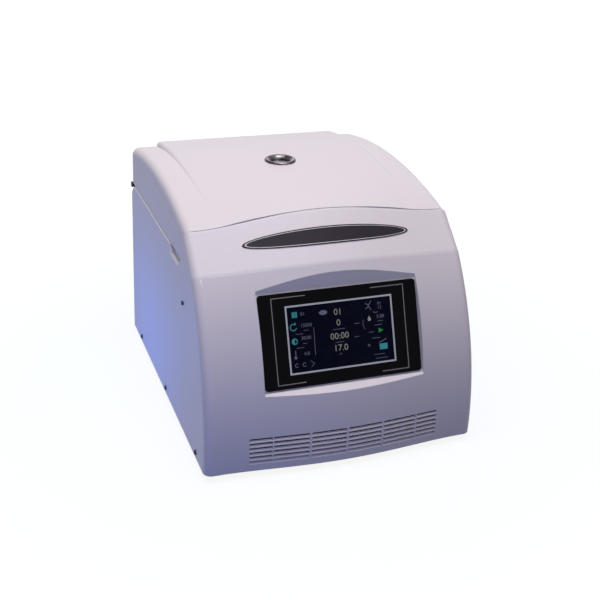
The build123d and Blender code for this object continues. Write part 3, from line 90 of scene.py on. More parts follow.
def remap(tree, value, low, high, to_low=0.0, to_high=1.0):
    """A value moved from one range to another, and kept inside it."""
    sockets = {"Value": value, "From Min": low, "From Max": high, "To Min": to_low, "To Max": to_high}
    return wire(tree, "ShaderNodeMapRange", sockets).outputs[0]


def own_place(tree):
    """The point on the piece itself, in metres."""
    return tree.nodes.new("ShaderNodeTexCoord").outputs["Object"]


def seen_directly(tree):
    """Is 1 for rays from the eye and for those that metal and glass send on."""
    path = tree.nodes.new("ShaderNodeLightPath").outputs
    either = reckon(tree, "MAXIMUM", path["Is Camera Ray"], path["Is Glossy Ray"])
    return reckon(tree, "MAXIMUM", either, path["Is Transmission Ray"])


def lamp(name, place, aim, size, power, colour):
    """A square soft box that stands at place and shines at aim."""
    data = bpy.data.lights.new(name, "AREA")
    data.size = size
    data.energy = power
    data.color = colour
    holder = bpy.data.objects.new(name, data)
    scene.collection.objects.link(holder)
    holder.location = place
    holder.rotation_euler = (Vector(aim) - Vector(place)).to_track_quat("-Z", "Y").to_euler()


lamp("top_soft_box", (-0.18, -0.2, 2.2), (0, 0, 0.3), 1.7, top_lamp_power, (1.0, 0.985, 0.985))
lamp("front_soft_box", (0.5, -2.2, 0.9), (0, 0, 0.15), 1.4, front_lamp_power, (0.98, 0.95, 1.0))
lamp("cool_soft_box", (-0.5, -0.75, 0.03), (-0.1, -0.25, 0.02), 0.4, cool_lamp_power, (0.0, 0.2, 1.0))
lamp("cool_side_box", (-0.42, 0.12, 0.0), (-0.2, 0.1, 0.0), 0.24, cool_side_power, (0.0, 0.2, 1.0))

studio = bpy.data.worlds.new("studio")
scene.world = studio
studio.use_nodes = True
sky = studio.node_tree
soft_sky = wire(sky, "ShaderNodeBackground", {"Color": (0.96, 0.94, 1.0, 1), "Strength": world_strength})
white_sky = wire(sky, "ShaderNodeBackground", {"Color": (1, 1, 1, 1), "Strength": 1.0})
sky_mix = {0: seen_directly(sky), 1: soft_sky.outputs[0], 2: white_sky.outputs[0]}
sky_mix = wire(sky, "ShaderNodeMixShader", sky_mix)
sky.links.new(sky_mix.outputs[0], sky.nodes["World Output"].inputs["Surface"])

floor_radius = 9.0
floor_shape = bmesh.new()
bmesh.ops.create_circle(floor_shape, cap_ends=True, segments=96, radius=floor_radius)
floor_mesh = bpy.data.meshes.new("floor")
floor_shape.to_mesh(floor_mesh)
floor = bpy.data.objects.new("floor", floor_mesh)
scene.collection.objects.link(floor)
floor_paint = bpy.data.materials.new("white_floor")
floor_paint.use_nodes = True
paint = floor_paint.node_tree
paint_fleck = wire(paint, "ShaderNodeTexNoise", {"Scale": 60.0, "Detail": 4.0}).outputs["Fac"]
paint_tone = wire(paint, "ShaderNodeValToRGB", {"Fac": paint_fleck})
paint_tone.color_ramp.elements[0].color = (0.09, 0.115, 0.24, 1)
paint_tone.color_ramp.elements[1].color = (0.11, 0.135, 0.26, 1)
paint_body = wire(paint, "ShaderNodeBsdfDiffuse", {"Color": paint_tone.outputs[0]})
# The floor's white glow is painted a little dimmer near the machine, so that its cast shadow still shows
# there.
paint_reach = wire(paint, "ShaderNodeVectorMath", {0: own_place(paint)}, operation="LENGTH")
paint_reach = paint_reach.outputs["Value"]
glow_with_painted_dimming = remap(paint, paint_reach, 0.4, 1.1, 0.9, 1.0)
glow_with_painted_dimming = reckon(paint, "MULTIPLY", glow_with_painted_dimming, seen_directly(paint))
paint_glow = wire(paint, "ShaderNodeEmission", {"Color": (1, 1, 0.96, 1), "Strength": glow_with_painted_dimming})
paint_both = wire(paint, "ShaderNodeAddShader", {0: paint_body.outputs[0], 1: paint_glow.outputs[0]})
paint.links.new(paint_both.outputs[0], paint.nodes["Material Output"].inputs["Surface"])
floor_mesh.materials.append(floor_paint)

# Base pan and rear panel: bent sheet steel under a light powder coat, whose skin is slightly bumpy like
# the peel of an orange.


def screen_colour(red, green, blue):
    """A colour as a screen shows it, 0 to 255, in the linear values that shaders take."""
    shares = [channel / 255 for channel in (red, green, blue)]
    return (*[((s + 0.055) / 1.055) ** 2.4 if s > 0.04 else s / 12.92 for s in shares], 1.0)


def shader_group(name, takes):
    """An empty shader group, with its inputs' first values in takes; returns it with its inner inputs."""
    group = bpy.data.node_groups.new(name, "ShaderNodeTree")
    for label, value in takes.items():
        size = len(value) if isinstance(value, tuple) else 1
        kind = {1: "NodeSocketFloat", 3: "NodeSocketVector", 4: "NodeSocketColor"}[size]
        group.interface.new_socket(label, in_out="INPUT", socket_type=kind).default_value = value
    return group, group.nodes.new("NodeGroupInput").outputs


def give(group, **results):
    """Closes a group's making by joining its results to sockets of the same name."""
    for label in results:
        kind = "NodeSocketColor" if label == "colour" else "NodeSocketFloat"
        group.interface.new_socket(label.title(), in_out="OUTPUT", socket_type=kind)
    ends = group.nodes.new("NodeGroupOutput").inputs
    for label, value in results.items():
        group.links.new(value, ends[label.title()])


def noise(tree, place, scale, detail, **more):
    """A soft cloud between 0 and 1; more sets the noise's other sockets."""
    sockets = {"Vector": place, "Scale": scale, "Detail": detail}
    sockets.update({label.title(): value for label, value in more.items()})
    return wire(tree, "ShaderNodeTexNoise", sockets).outputs["Fac"]


def toned(group, colour, fleck, spread):
    """The colour made a little lighter and darker by a fleck that runs from 0 to 1."""
    value = reckon(group, "MULTIPLY_ADD", reckon(group, "SUBTRACT", fleck, 0.5), spread, 1.0)
    return wire(group, "ShaderNodeHueSaturation", {"Color": colour, "Value": value}).outputs[0]


def shifted(group, base, fleck, spread):
    """The roughness made a little higher and lower by the same kind of fleck."""
    return reckon(group, "MULTIPLY_ADD", reckon(group, "SUBTRACT", fleck, 0.5), spread, base)


def blend(tree, share, first, second):
    """One colour that turns into another as share goes from 0 to 1."""
    sockets = {"Factor": share, 6: first, 7: second}
    return wire(tree, "ShaderNodeMix", sockets, data_type="RGBA").outputs[2]


grain, takes = shader_group(
    "fine_grain",
    {"Colour": (0.8, 0.8, 0.8, 1), "Roughness": 0.5, "Grains per metre": 900.0, "Mottle": 0.05},
)
place = own_place(grain)
fine = noise(grain, place, takes["Grains per metre"], 3.0)
cloud = noise(grain, place, 11.0, 5.0, roughness=0.6)
give(
    grain,
    colour=toned(grain, takes["Colour"], cloud, takes["Mottle"]),
    roughness=shifted(grain, takes["Roughness"], fine, 0.16),
    height=fine,
)

# Rubbed edges: paint and oxide wear thin where a corner is handled, so the bare metal shows there in
# patches.
edge_wear, takes = shader_group(
    "edge_wear", {"Colour": (0.1, 0.1, 0.1, 1), "Bare": (0.5, 0.5, 0.5, 1), "Width": 0.0006, "Amount": 0.5}
)
rounded = wire(edge_wear, "ShaderNodeBevel", {"Radius": takes["Width"]}, samples=4).outputs[0]
true_normal = edge_wear.nodes.new("ShaderNodeNewGeometry").outputs["Normal"]
facing = wire(edge_wear, "ShaderNodeVectorMath", {0: rounded, 1: true_normal}, operation="DOT_PRODUCT")
on_edge = remap(edge_wear, facing.outputs["Value"], 0.99, 0.8)
patchy = reckon(edge_wear, "MULTIPLY", noise(edge_wear, own_place(edge_wear), 160.0, 4.0), on_edge)
worn = {0: patchy, 1: takes["Amount"]}
worn = wire(edge_wear, "ShaderNodeMath", worn, operation="MULTIPLY", use_clamp=True).outputs[0]
give(edge_wear, colour=blend(edge_wear, worn, takes["Colour"], takes["Bare"]))


def finish(name, group, values, relief, plain=(), worn_to=None):
    """A material whose colour, roughness and relief come from a shared group of nodes.

    values go to the group, relief is the depth of its bumps in metres, plain values go to the shader's own
    sockets, and worn_to is the bare colour that shows along rubbed edges.
    """
    material = bpy.data.materials.new(name)
    material.use_nodes = True
    tree = material.node_tree
    shader = tree.nodes["Principled BSDF"]
    detail = wire(tree, "ShaderNodeGroup", {}, node_tree=group)
    for label, value in values.items():
        detail.inputs[label].default_value = value
    colour = detail.outputs["Colour"]
    if worn_to:
        rubbed = wire(tree, "ShaderNodeGroup", {}, node_tree=edge_wear)
        rubbed.inputs["Bare"].default_value = worn_to
        tree.links.new(colour, rubbed.inputs["Colour"])
        colour = rubbed.outputs["Colour"]
    bump = wire(tree, "ShaderNodeBump", {"Height": detail.outputs["Height"], "Distance": relief})
    tree.links.new(colour, shader.inputs["Base Color"])
    tree.links.new(detail.outputs["Roughness"], shader.inputs["Roughness"])
    tree.links.new(bump.outputs["Normal"], shader.inputs["Normal"])
    for label, value in dict(plain).items():
        shader.inputs[label].default_value = value
    return material


def dress(material, *names):
    """Gives CAD nodes their material."""
    for name in names:
        slots = node[name].data.materials
        for place in range(len(slots)):
            slots[place] = material


powder_coat = finish(
    "powder_coat",
    grain,
    {"Colour": screen_colour(204, 201, 208), "Roughness": 0.48, "Grains per metre": 420.0, "Mottle": 0.05},
    0.00012,
)
dress(powder_coat, "base_pan", "rear_panel")

# Feet and vibration mounts: moulded black rubber, dull, with a dusty bloom. The feet screw up into the
# pan, and the mounts carry the motor's plate and the compressor.
rubber = finish(
    "black_rubber",
    grain,
    {"Colour": screen_colour(38, 37, 39), "Roughness": 0.78, "Grains per metre": 700.0, "Mottle": 0.35},
    0.0001,
    {"Specular IOR Level": 0.3},
)
dress(rubber, "feet", "rubber_mounts", "shaft_boot")

# Frame posts, lock bracket and lid striker: pressed sheet with a bright zinc plate, whose crystals show
# as faint spangles. They are spot welded or screwed to the pan.
spangle, takes = shader_group(
    "zinc_spangle", {"Colour": (0.4, 0.4, 0.4, 1), "Roughness": 0.35, "Crystals per metre": 160.0}
)
crystals = {"Vector": own_place(spangle), "Scale": takes["Crystals per metre"]}
crystals = wire(spangle, "ShaderNodeTexVoronoi", crystals).outputs
crystal = wire(spangle, "ShaderNodeSeparateColor", {"Color": crystals["Color"]}).outputs[0]
give(
    spangle,
    colour=toned(spangle, takes["Colour"], crystal, 0.22),
    roughness=shifted(spangle, takes["Roughness"], crystal, 0.18),
    height=crystals["Distance"],
)
zinc_plate = finish(
    "zinc_plate",
    spangle,
    {"Colour": screen_colour(190, 192, 196), "Roughness": 0.36},
    0.00002,
    {"Metallic": 1.0},
)
dress(zinc_plate, "frame_posts", "lock_bracket", "lid_striker")

# Housing and lid: structural foam mouldings in off-white plastic, spark-textured in the mould, so they
# shine softly. The housing drops over the pan and frame and is held by the side screws.
off_white = finish(
    "off_white_plastic",
    grain,
    {
        "Colour": screen_colour(223, 214, 222),
        "Roughness": 0.46,
        "Grains per metre": 1500.0,
        "Mottle": 0.025,
    },
    0.00006,
    {"Specular IOR Level": 0.42},
)
dress(off_white, "housing", "lid_shell")

# Side screws: pan-head screws with a cross recess, blackened steel, three low on each side of the housing.
# They run through the skirt into the pan's flange.
mm = 0.001
screw_radius = 2.0
screw_length = 9.0
screw_head_height = 2.4
screw_sides = 28
thread_start = 1.0
thread_turns = 9
thread_slope = 0.35
thread_root = 0.86
tip_share = 0.55
recess_long = 0.62
recess_short = 0.16
turn_per_screw = 0.65
four_corners = ((1, 1), (-1, 1), (-1, -1), (1, -1))


def turned_shape(profile, sides):
    """A closed turned shape about Z in millimetres, from points (radius, height) from the top down."""
    shape = bmesh.new()
    rings = []
    for radius, height in profile:
        if radius == 0:
            rings.append([shape.verts.new((0, 0, height))])
            continue
        steps = [2 * math.pi * side / sides for side in range(sides)]
        rings.append([shape.verts.new((radius * math.cos(t), radius * math.sin(t), height)) for t in steps])
    for upper, lower in zip(rings, rings[1:]):
        for side in range(sides):
            after = (side + 1) % sides
            if len(upper) == 1:
                corners = (upper[0], lower[side], lower[after])
            elif len(lower) == 1:
                corners = (upper[after], upper[side], lower[0])
            else:
                corners = (upper[after], upper[side], lower[side], lower[after])
            shape.faces.new(corners)
    return shape


def as_mesh(name, shape):
    """Closes a shape's making and returns it as a mesh."""
    bmesh.ops.recalc_face_normals(shape, faces=shape.faces)
    mesh = bpy.data.meshes.new(name)
    shape.to_mesh(mesh)
    shape.free()
    return mesh


def cross_head_screw(head_radius, head_height):
    """One screw in millimetres, its seat at z 0 and its head upwards."""
    thread = []
    for turn in range(thread_turns):
        low = -thread_start - turn * (screw_length - 2 * thread_start) / thread_turns
        thread += [(screw_radius, low), (screw_radius * thread_root, low - thread_slope)]
    dome = ((0, 1), (0.5, 0.98), (0.8, 0.84), (0.95, 0.6), (1, 0.3), (1, 0))
    dome = [(reach * head_radius, rise * head_height) for reach, rise in dome]
    shank = [(screw_radius, 0), *thread, (tip_share * screw_radius, -screw_length), (0, -screw_length)]
    body = bpy.data.objects.new("screw", as_mesh("screw", turned_shape(dome + shank, screw_sides)))
    recess = bmesh.new()
    for long_side, short_side in ((recess_long, recess_short), (recess_short, recess_long)):
        corners = []
        for share, height in ((0.5, 0.25 * head_height), (1.0, 1.2 * head_height)):
            x = share * long_side * head_radius
            y = share * short_side * head_radius
            corners.append([recess.verts.new((sx * x, sy * y, height)) for sx, sy in four_corners])
        recess.faces.new(corners[0][::-1])
        recess.faces.new(corners[1])
        for side in range(4):
            after = (side + 1) % 4
            recess.faces.new((corners[0][side], corners[0][after], corners[1][after], corners[1][side]))
    cutter = bpy.data.objects.new("recess", as_mesh("recess", recess))
    for helper in (body, cutter):
        scene.collection.objects.link(helper)
    cut = body.modifiers.new("recess", "BOOLEAN")
    cut.object = cutter
    cut.solver = "EXACT"
    cut.use_self = True
    bpy.context.view_layer.update()
    made = bpy.data.meshes.new_from_object(body.evaluated_get(bpy.context.evaluated_depsgraph_get()))
    for helper in (body, cutter):
        bpy.data.objects.remove(helper)
    return made


def add_piece(name, shape, material, body, stands_for=()):
    """Puts a finished shape, in metres, on a CAD body."""
    mesh = as_mesh(name, shape)
    mesh.materials.append(material)
    piece = bpy.data.objects.new(name, mesh)
    scene.collection.objects.link(piece)
    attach(piece, body)
    if stands_for:
        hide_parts(*stands_for)
    return piece


def smooth_by_angle(piece, degrees=35):
    """Rounds the shading of shallow edges and keeps the sharp ones."""
    for face in piece.data.polygons:
        face.use_smooth = True
    shape = bmesh.new()
    shape.from_mesh(piece.data)
    for edge in shape.edges:
        edge.smooth = len(edge.link_faces) == 2 and edge.calc_face_angle() < math.radians(degrees)
    shape.to_mesh(piece.data)
    shape.free()


def screw_set(name, template, seats, heads_to, body, stands_for):
    """Screws at their seats, in millimetres, each turned a little further than the last."""
    group = bmesh.new()
    for index, (seat, way) in enumerate(zip(seats, heads_to)):
        copy = template.copy()
        aim = Vector(way).to_track_quat("Z", "Y").to_matrix().to_4x4()
        turn = Matrix.Rotation(turn_per_screw * index, 4, "Z")
        copy.transform(Matrix.Scale(mm, 4) @ Matrix.Translation(seat) @ aim @ turn)
        group.from_mesh(copy)
        bpy.data.meshes.remove(copy)
    piece = add_piece(name, group, black_oxide, body, (stands_for,))
    smooth_by_angle(piece)


black_oxide = finish(
    "black_oxide",
    grain,
    {"Colour": screen_colour(44, 43, 47), "Roughness": 0.42, "Grains per metre": 1200.0, "Mottle": 0.25},
    0.00003,
    {"Metallic": 0.6},
    worn_to=screen_colour(120, 118, 122),
)
side_screw_z = 19
side_screw_y = (-192, -5, 176)
side_seat_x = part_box("side_screws")[1].x / mm - screw_head_height
side_seats = [(side * side_seat_x, y, side_screw_z) for side in (-1, 1) for y in side_screw_y]
side_ways = [(seat[0], 0, 0) for seat in side_seats]
pan_head = cross_head_screw(4.0, screw_head_height)
screw_set("side_cross_screws", pan_head, side_seats, side_ways, "base", "side_screws")

# Rear and hinge screws: the same kind in a smaller size. They hold the rear panel to the posts, and the
# hinges to the panel and the lid.
small_head = cross_head_screw(3.2, screw_head_height)
back_y = 243.4
leaf_face_y = 245.9
post_x = 178
post_screw_z = (40, 135, 220)
hinge_middle_x = 150
hinge_screw_step = 8
bracket_screw_z = 239
leaf_screw_z = 290
panel_seats = [(side * post_x, back_y, z) for side in (-1, 1) for z in post_screw_z]
hinge_steps = (-hinge_screw_step, hinge_screw_step)
hinge_x = [side * hinge_middle_x + step for side in (-1, 1) for step in hinge_steps]
rear_seats = panel_seats + [(x, leaf_face_y, bracket_screw_z) for x in hinge_x]
rear_ways = [(0, 1, 0)] * len(rear_seats)
screw_set("rear_cross_screws", small_head, rear_seats, rear_ways, "base", "rear_screws")
leaf_seats = [(x, leaf_face_y, leaf_screw_z) for x in hinge_x]
leaf_ways = [(0, 1, 0)] * len(leaf_seats)
screw_set("leaf_cross_screws", small_head, leaf_seats, leaf_ways, "lid", "hinge_leaf_screws")

# Deck and lid liner: vacuum-formed grey plastic, with a slightly coarser skin than the housing's. The tube
# under the sight glass is a darker grey, partly its own grey and partly painted shade for its dim inside.
grey_plastic = finish(
    "light_grey_plastic",
    grain,
    {"Colour": screen_colour(206, 203, 208), "Roughness": 0.5, "Grains per metre": 800.0, "Mottle": 0.04},
    0.00009,
)
dress(grey_plastic, "top_deck", "lid_liner")
# Painted shade: the tube's grey is made darker to stand for the dim inside of the tube.
tube_plastic = finish(
    "tube_plastic",
    grain,
    {"Colour": screen_colour(188, 188, 192), "Roughness": 0.4, "Grains per metre": 600.0, "Mottle": 0.05},
    0.00005,
)
dress(tube_plastic, "sight_tube")

# Chamber seal: a grey silicone lip that the lid presses down round the bowl. It is moulded in one piece
# and keeps the damp of the room out of the cold chamber.
silicone = finish(
    "grey_silicone",
    grain,
    {"Colour": screen_colour(142, 143, 147), "Roughness": 0.6, "Grains per metre": 500.0, "Mottle": 0.12},
    0.00005,
)
dress(silicone, "chamber_seal")

# Bowl: spun stainless sheet. The spinning tool leaves fine rings round the axis, and the rotor's lathe
# does the same.
axis_y = 0.065
rings, takes = shader_group(
    "turned_rings",
    {
        "Colour": (0.5, 0.5, 0.5, 1),
        "Roughness": 0.3,
        "Centre": (0.0, 0.0, 0.0),
        "Rings per metre": 1500.0,
        "Contrast": 0.15,
    },
)
offset = {0: own_place(rings), 1: takes["Centre"]}
offset = wire(rings, "ShaderNodeVectorMath", offset, operation="SUBTRACT").outputs[0]
apart = wire(rings, "ShaderNodeSeparateXYZ", {0: offset}).outputs
flat = wire(rings, "ShaderNodeCombineXYZ", {"X": apart["X"], "Y": apart["Y"]}).outputs[0]
reach = wire(rings, "ShaderNodeVectorMath", {0: flat}, operation="LENGTH").outputs["Value"]
slow_angle = reckon(rings, "MULTIPLY", reckon(rings, "ARCTAN2", apart["Y"], apart["X"]), 0.0006)
unrolled = wire(rings, "ShaderNodeCombineXYZ", {"X": reach, "Y": apart["Z"], "Z": slow_angle}).outputs[0]
fine = noise(rings, unrolled, takes["Rings per metre"], 3.0)
give(
    rings,
    colour=toned(rings, takes["Colour"], fine, takes["Contrast"]),
    roughness=shifted(rings, takes["Roughness"], fine, 0.25),
    height=fine,
)
spun_steel = finish(
    "spun_stainless",
    rings,
    {
        "Colour": screen_colour(196, 196, 199),
        "Roughness": 0.3,
        "Centre": (0, axis_y, 0),
        "Rings per metre": 900.0,
    },
    0.00003,
    {"Metallic": 1.0},
)
dress(spun_steel, "bowl")

# Insulation and lid core: rigid cream foam that is poured round the bowl and into the lid, where it sets.
# Its skin shows small open cells.
cells, takes = shader_group(
    "foam_cells", {"Colour": (0.8, 0.7, 0.5, 1), "Roughness": 0.85, "Cells per metre": 700.0}
)
place = own_place(cells)
bubbles = {"Vector": place, "Scale": takes["Cells per metre"]}
bubbles = wire(cells, "ShaderNodeTexVoronoi", bubbles).outputs["Distance"]
give(
    cells,
    colour=toned(cells, takes["Colour"], noise(cells, place, 25.0, 5.0), 0.35),
    roughness=shifted(cells, takes["Roughness"], bubbles, 0.15),
    height=bubbles,
)
cream_foam = finish("cream_foam", cells, {"Colour": screen_colour(228, 208, 164)}, 0.0005)
dress(cream_foam, "insulation", "lid_foam")

# Copper: the coil on the bowl, the lines and the drier are drawn tube, brazed together, darker and
# browner in blotches.
blotches, takes = shader_group(
    "oxide_blotches",
    {
        "Colour": (0.6, 0.3, 0.2, 1),
        "Oxide": (0.25, 0.12, 0.08, 1),
        "Roughness": 0.3,
        "Blotches per metre": 45.0,
    },
)
place = own_place(blotches)
patch = noise(blotches, place, takes["Blotches per metre"], 6.0, roughness=0.65)
give(
    blotches,
    colour=blend(blotches, remap(blotches, patch, 0.42, 0.72), takes["Colour"], takes["Oxide"]),
    roughness=shifted(blotches, takes["Roughness"], patch, 0.6),
    height=noise(blotches, place, 1400.0, 2.0),
)
copper = finish(
    "drawn_copper",
    blotches,
    {"Colour": screen_colour(214, 138, 104), "Oxide": screen_colour(142, 84, 62), "Roughness": 0.32},
    0.00002,
    {"Metallic": 1.0},
)
dress(copper, "evaporator_coil", "copper_lines", "filter_drier")

# Ground steel: the temperature probe, bolt, motor shaft and bearings, ground to size and polished. The
# scratches run across each piece's long side.
scratches, takes = shader_group(
    "fine_scratches",
    {
        "Colour": (0.5, 0.5, 0.5, 1),
        "Roughness": 0.25,
        "Stretch": (1.0, 1.0, 12.0),
        "Scratches per metre": 260.0,
    },
)
drawn_out = {0: own_place(scratches), 1: takes["Stretch"]}
drawn_out = wire(scratches, "ShaderNodeVectorMath", drawn_out, operation="MULTIPLY").outputs[0]
line = noise(scratches, drawn_out, takes["Scratches per metre"], 4.0)
give(
    scratches,
    colour=toned(scratches, takes["Colour"], line, 0.16),
    roughness=shifted(scratches, takes["Roughness"], line, 0.22),
    height=line,
)
ground_steel = finish(
    "ground_steel",
    scratches,
    {"Colour": screen_colour(178, 178, 182), "Roughness": 0.24},
    0.00001,
    {"Metallic": 1.0},
)
dress(ground_steel, "temperature_probe", "lock_bolt", "motor_shaft", "motor_bearings")

# Motor: a dark enamelled housing and cap round a stack of steel laminations, on a cast aluminium plate.
# The compressor's can has the same enamel.
enamel = finish(
    "dark_enamel",
    grain,
    {"Colour": screen_colour(52, 54, 58), "Roughness": 0.38, "Grains per metre": 260.0, "Mottle": 0.12},
    0.00012,
    worn_to=screen_colour(96, 96, 98),
)
dress(enamel, "motor_housing", "motor_cap", "compressor")
laminations = finish(
    "laminations",
    scratches,
    {
        "Colour": screen_colour(124, 120, 116),
        "Roughness": 0.5,
        "Stretch": (0.05, 0.05, 6.0),
        "Scratches per metre": 500.0,
    },
    0.0001,
    {"Metallic": 0.8},
)
dress(laminations, "motor_stator", "motor_magnets")
cast_aluminium = finish(
    "cast_aluminium",
    grain,
    {"Colour": screen_colour(186, 187, 190), "Roughness": 0.46, "Grains per metre": 520.0, "Mottle": 0.08},
    0.00008,
    {"Metallic": 1.0},
    worn_to=screen_colour(222, 222, 224),
)
dress(cast_aluminium, "motor_plate", "heat_sink")

# Rotor: turned from aluminium and anodised, with twelve slanted pockets, each with its number printed
# above it so that tubes can be told apart.
pocket_count = 12
number_height = 4.6
number_reach = 59.5
number_lift = 0.03
cone_rise = 176.0
cap_share = 0.7
print_thickness = 0.02
anodised = finish(
    "anodised_aluminium",
    rings,
    {
        "Colour": screen_colour(150, 152, 158),
        "Roughness": 0.34,
        "Centre": (0, axis_y, 0),
        "Rings per metre": 1400.0,
        "Contrast": 0.08,
    },
    0.00002,
    {"Metallic": 1.0},
)
dress(anodised, "rotor")


def lettering(text, height):
    """A short number as a thin closed mesh in millimetres, centred on its own origin and facing +Z."""
    curve = bpy.data.curves.new("lettering", "FONT")
    curve.body = text
    curve.align_x = "CENTER"
    curve.align_y = "CENTER"
    curve.size = height / cap_share
    curve.extrude = print_thickness
    curve.resolution_u = 3
    maker = bpy.data.objects.new("lettering", curve)
    scene.collection.objects.link(maker)
    bpy.context.view_layer.update()
    flat_mesh = bpy.data.meshes.new_from_object(maker.evaluated_get(bpy.context.evaluated_depsgraph_get()))
    bpy.data.objects.remove(maker)
    shape = bmesh.new()
    shape.from_mesh(flat_mesh)
    bmesh.ops.remove_doubles(shape, verts=shape.verts, dist=0.0005)
    shape.to_mesh(flat_mesh)
    shape.free()
    return flat_mesh


def add_lettering(shape, text, height, place):
    """Adds a number to a shape in metres; place turns and moves it from its own millimetres."""
    printed = lettering(text, height)
    printed.transform(place)
    shape.from_mesh(printed)
    bpy.data.meshes.remove(printed)


white_print = finish(
    "white_print",
    grain,
    {"Colour": screen_colour(226, 226, 228), "Roughness": 0.55, "Grains per metre": 2500.0, "Mottle": 0.08},
    0.00001,
)
numbers = bmesh.new()
for pocket in range(pocket_count):
    around = math.radians((pocket + 0.5) * 360 / pocket_count)
    outwards = Vector((math.cos(around), math.sin(around), 0))
    up_slope = (outwards + Vector((0, 0, 1))).normalized()
    off_slope = (Vector((0, 0, 1)) - outwards).normalized()
    across_slope = up_slope.cross(off_slope)
    spot = outwards * number_reach + Vector((0, axis_y / mm, cone_rise + number_reach))
    turn = Matrix((across_slope, up_slope, off_slope)).transposed().to_4x4()
    on_cone = Matrix.Scale(mm, 4) @ Matrix.Translation(spot + off_slope * number_lift) @ turn
    add_lettering(numbers, str(pocket + 1), number_height, on_cone)
add_piece("rotor_numbers", numbers, white_print, "spindle")

# Condenser: a pack of thin aluminium fins on the copper tubes, all dipped in thin black paint once they
# are joined.
condenser_black = finish(
    "condenser_black",
    grain,
    {"Colour": screen_colour(26, 26, 29), "Roughness": 0.5, "Grains per metre": 500.0, "Mottle": 0.3},
    0.00004,
    {"Specular IOR Level": 0.2},
)
dress(condenser_black, "condenser_fins", "condenser_coil")

# Black mouldings: fan frame and blades, inlet, switch, rocker, fuse drawer and rotor knob, in glass-filled
# plastic with a slightly swirled skin.
black_plastic = finish(
    "black_plastic",
    grain,
    {"Colour": screen_colour(34, 34, 36), "Roughness": 0.5, "Grains per metre": 900.0, "Mottle": 0.3},
    0.00007,
    {"Specular IOR Level": 0.4},
)
dress(black_plastic, "fan_frame", "fan_blades", "rotor_knob")
dress(black_plastic, "power_inlet", "power_switch", "power_rocker", "fuse_drawer")

# Solenoid and power supply: plated steel cans. The sheet was brushed one way before it was folded and
# plated.
plated_can = finish(
    "plated_can",
    scratches,
    {
        "Colour": screen_colour(178, 180, 184),
        "Roughness": 0.38,
        "Stretch": (1.0, 0.06, 1.0),
        "Scratches per metre": 900.0,
    },
    0.00002,
    {"Metallic": 1.0},
)
dress(plated_can, "lock_solenoid", "power_supply")

# Inlet pins: nickel-plated brass blades, polished along their length, that the mains cord's plug slides
# over.
nickel_brass = finish(
    "nickel_brass",
    scratches,
    {"Colour": screen_colour(206, 190, 146), "Roughness": 0.24, "Stretch": (1.0, 0.1, 1.0)},
    0.00001,
    {"Metallic": 1.0},
)
dress(nickel_brass, "inlet_pins")

# Rocker marks: a bar and a ring for on and off, printed on the rocker's two halves. They follow its
# curved face.
rocker_low, rocker_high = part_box("power_rocker")
rocker_middle = (rocker_low + rocker_high) / 2
mark_radius = 2.3
mark_stroke = 0.9
mark_height = 0.05
mark_offset = 5.6
ray_start = 0.05


def surface_of(name):
    """Finds points on a CAD node's surface."""
    mesh = node[name].data
    return BVHTree.FromPolygons([v.co for v in mesh.vertices], [p.vertices for p in mesh.polygons])


def band(shape, inner, outer, surface, way, lift, closed=True):
    """A thin strip between two lines of points, laid on a surface along a direction.

    A closed one runs round to its start again.
    """
    layers = []
    for rise in (-lift, lift):
        for line in (inner, outer):
            placed = []
            for point in line:
                hit = surface.ray_cast(Vector(point) - Vector(way) * ray_start, Vector(way))[0]
                placed.append(shape.verts.new(hit - Vector(way) * rise))
            layers.append(placed)
    low_inner, low_outer, high_inner, high_outer = layers
    last = len(inner) if closed else len(inner) - 1
    for here in range(last):
        there = (here + 1) % len(inner)
        shape.faces.new((high_inner[here], high_outer[here], high_outer[there], high_inner[there]))
        shape.faces.new((low_inner[there], low_outer[there], low_outer[here], low_inner[here]))
        shape.faces.new((high_outer[here], low_outer[here], low_outer[there], high_outer[there]))
        shape.faces.new((low_inner[here], high_inner[here], high_inner[there], low_inner[there]))
    if not closed:
        shape.faces.new((low_inner[0], low_outer[0], high_outer[0], high_inner[0]))
        shape.faces.new((high_inner[-1], high_outer[-1], low_outer[-1], low_inner[-1]))


def circle_line(centre, radius, count):
    """Points round a circle that stands in the X and Z plane."""
    steps = [2 * math.pi * step / count for step in range(count)]
    return [(centre[0] + radius * math.cos(t), centre[1], centre[2] + radius * math.sin(t)) for t in steps]


rocker_surface = surface_of("power_rocker")
marks = bmesh.new()
off_centre = (rocker_middle.x, rocker_high.y, rocker_middle.z - mark_offset * mm)
ring_inner = circle_line(off_centre, (mark_radius - mark_stroke / 2) * mm, 28)
ring_outer = circle_line(off_centre, (mark_radius + mark_stroke / 2) * mm, 28)
band(marks, ring_inner, ring_outer, rocker_surface, (0, -1, 0), mark_height * mm)
bar_ends = [rocker_middle.z + (mark_offset + step) * mm for step in (-mark_radius, 0, mark_radius)]
bar_left = [(rocker_middle.x - mark_stroke / 2 * mm, rocker_high.y, z) for z in bar_ends]
bar_right = [(rocker_middle.x + mark_stroke / 2 * mm, rocker_high.y, z) for z in bar_ends]
band(marks, bar_left, bar_right, rocker_surface, (0, -1, 0), mark_height * mm, closed=False)
add_piece("rocker_marks", marks, white_print, "rocker")

# Hinges: brackets on the rear panel and leaves on the lid, cut from plate and blackened like their pins
# with the dampers, and like the rod of the lid's emergency release.
hinge_oxide = finish(
    "hinge_black_oxide",
    grain,
    {"Colour": screen_colour(40, 39, 43), "Roughness": 0.48, "Grains per metre": 600.0, "Mottle": 0.2},
    0.00005,
    {"Metallic": 0.5},
    worn_to=screen_colour(112, 110, 114),
)
dress(hinge_oxide, "hinge_brackets", "hinge_leaves", "hinge_pins", "release_pull")

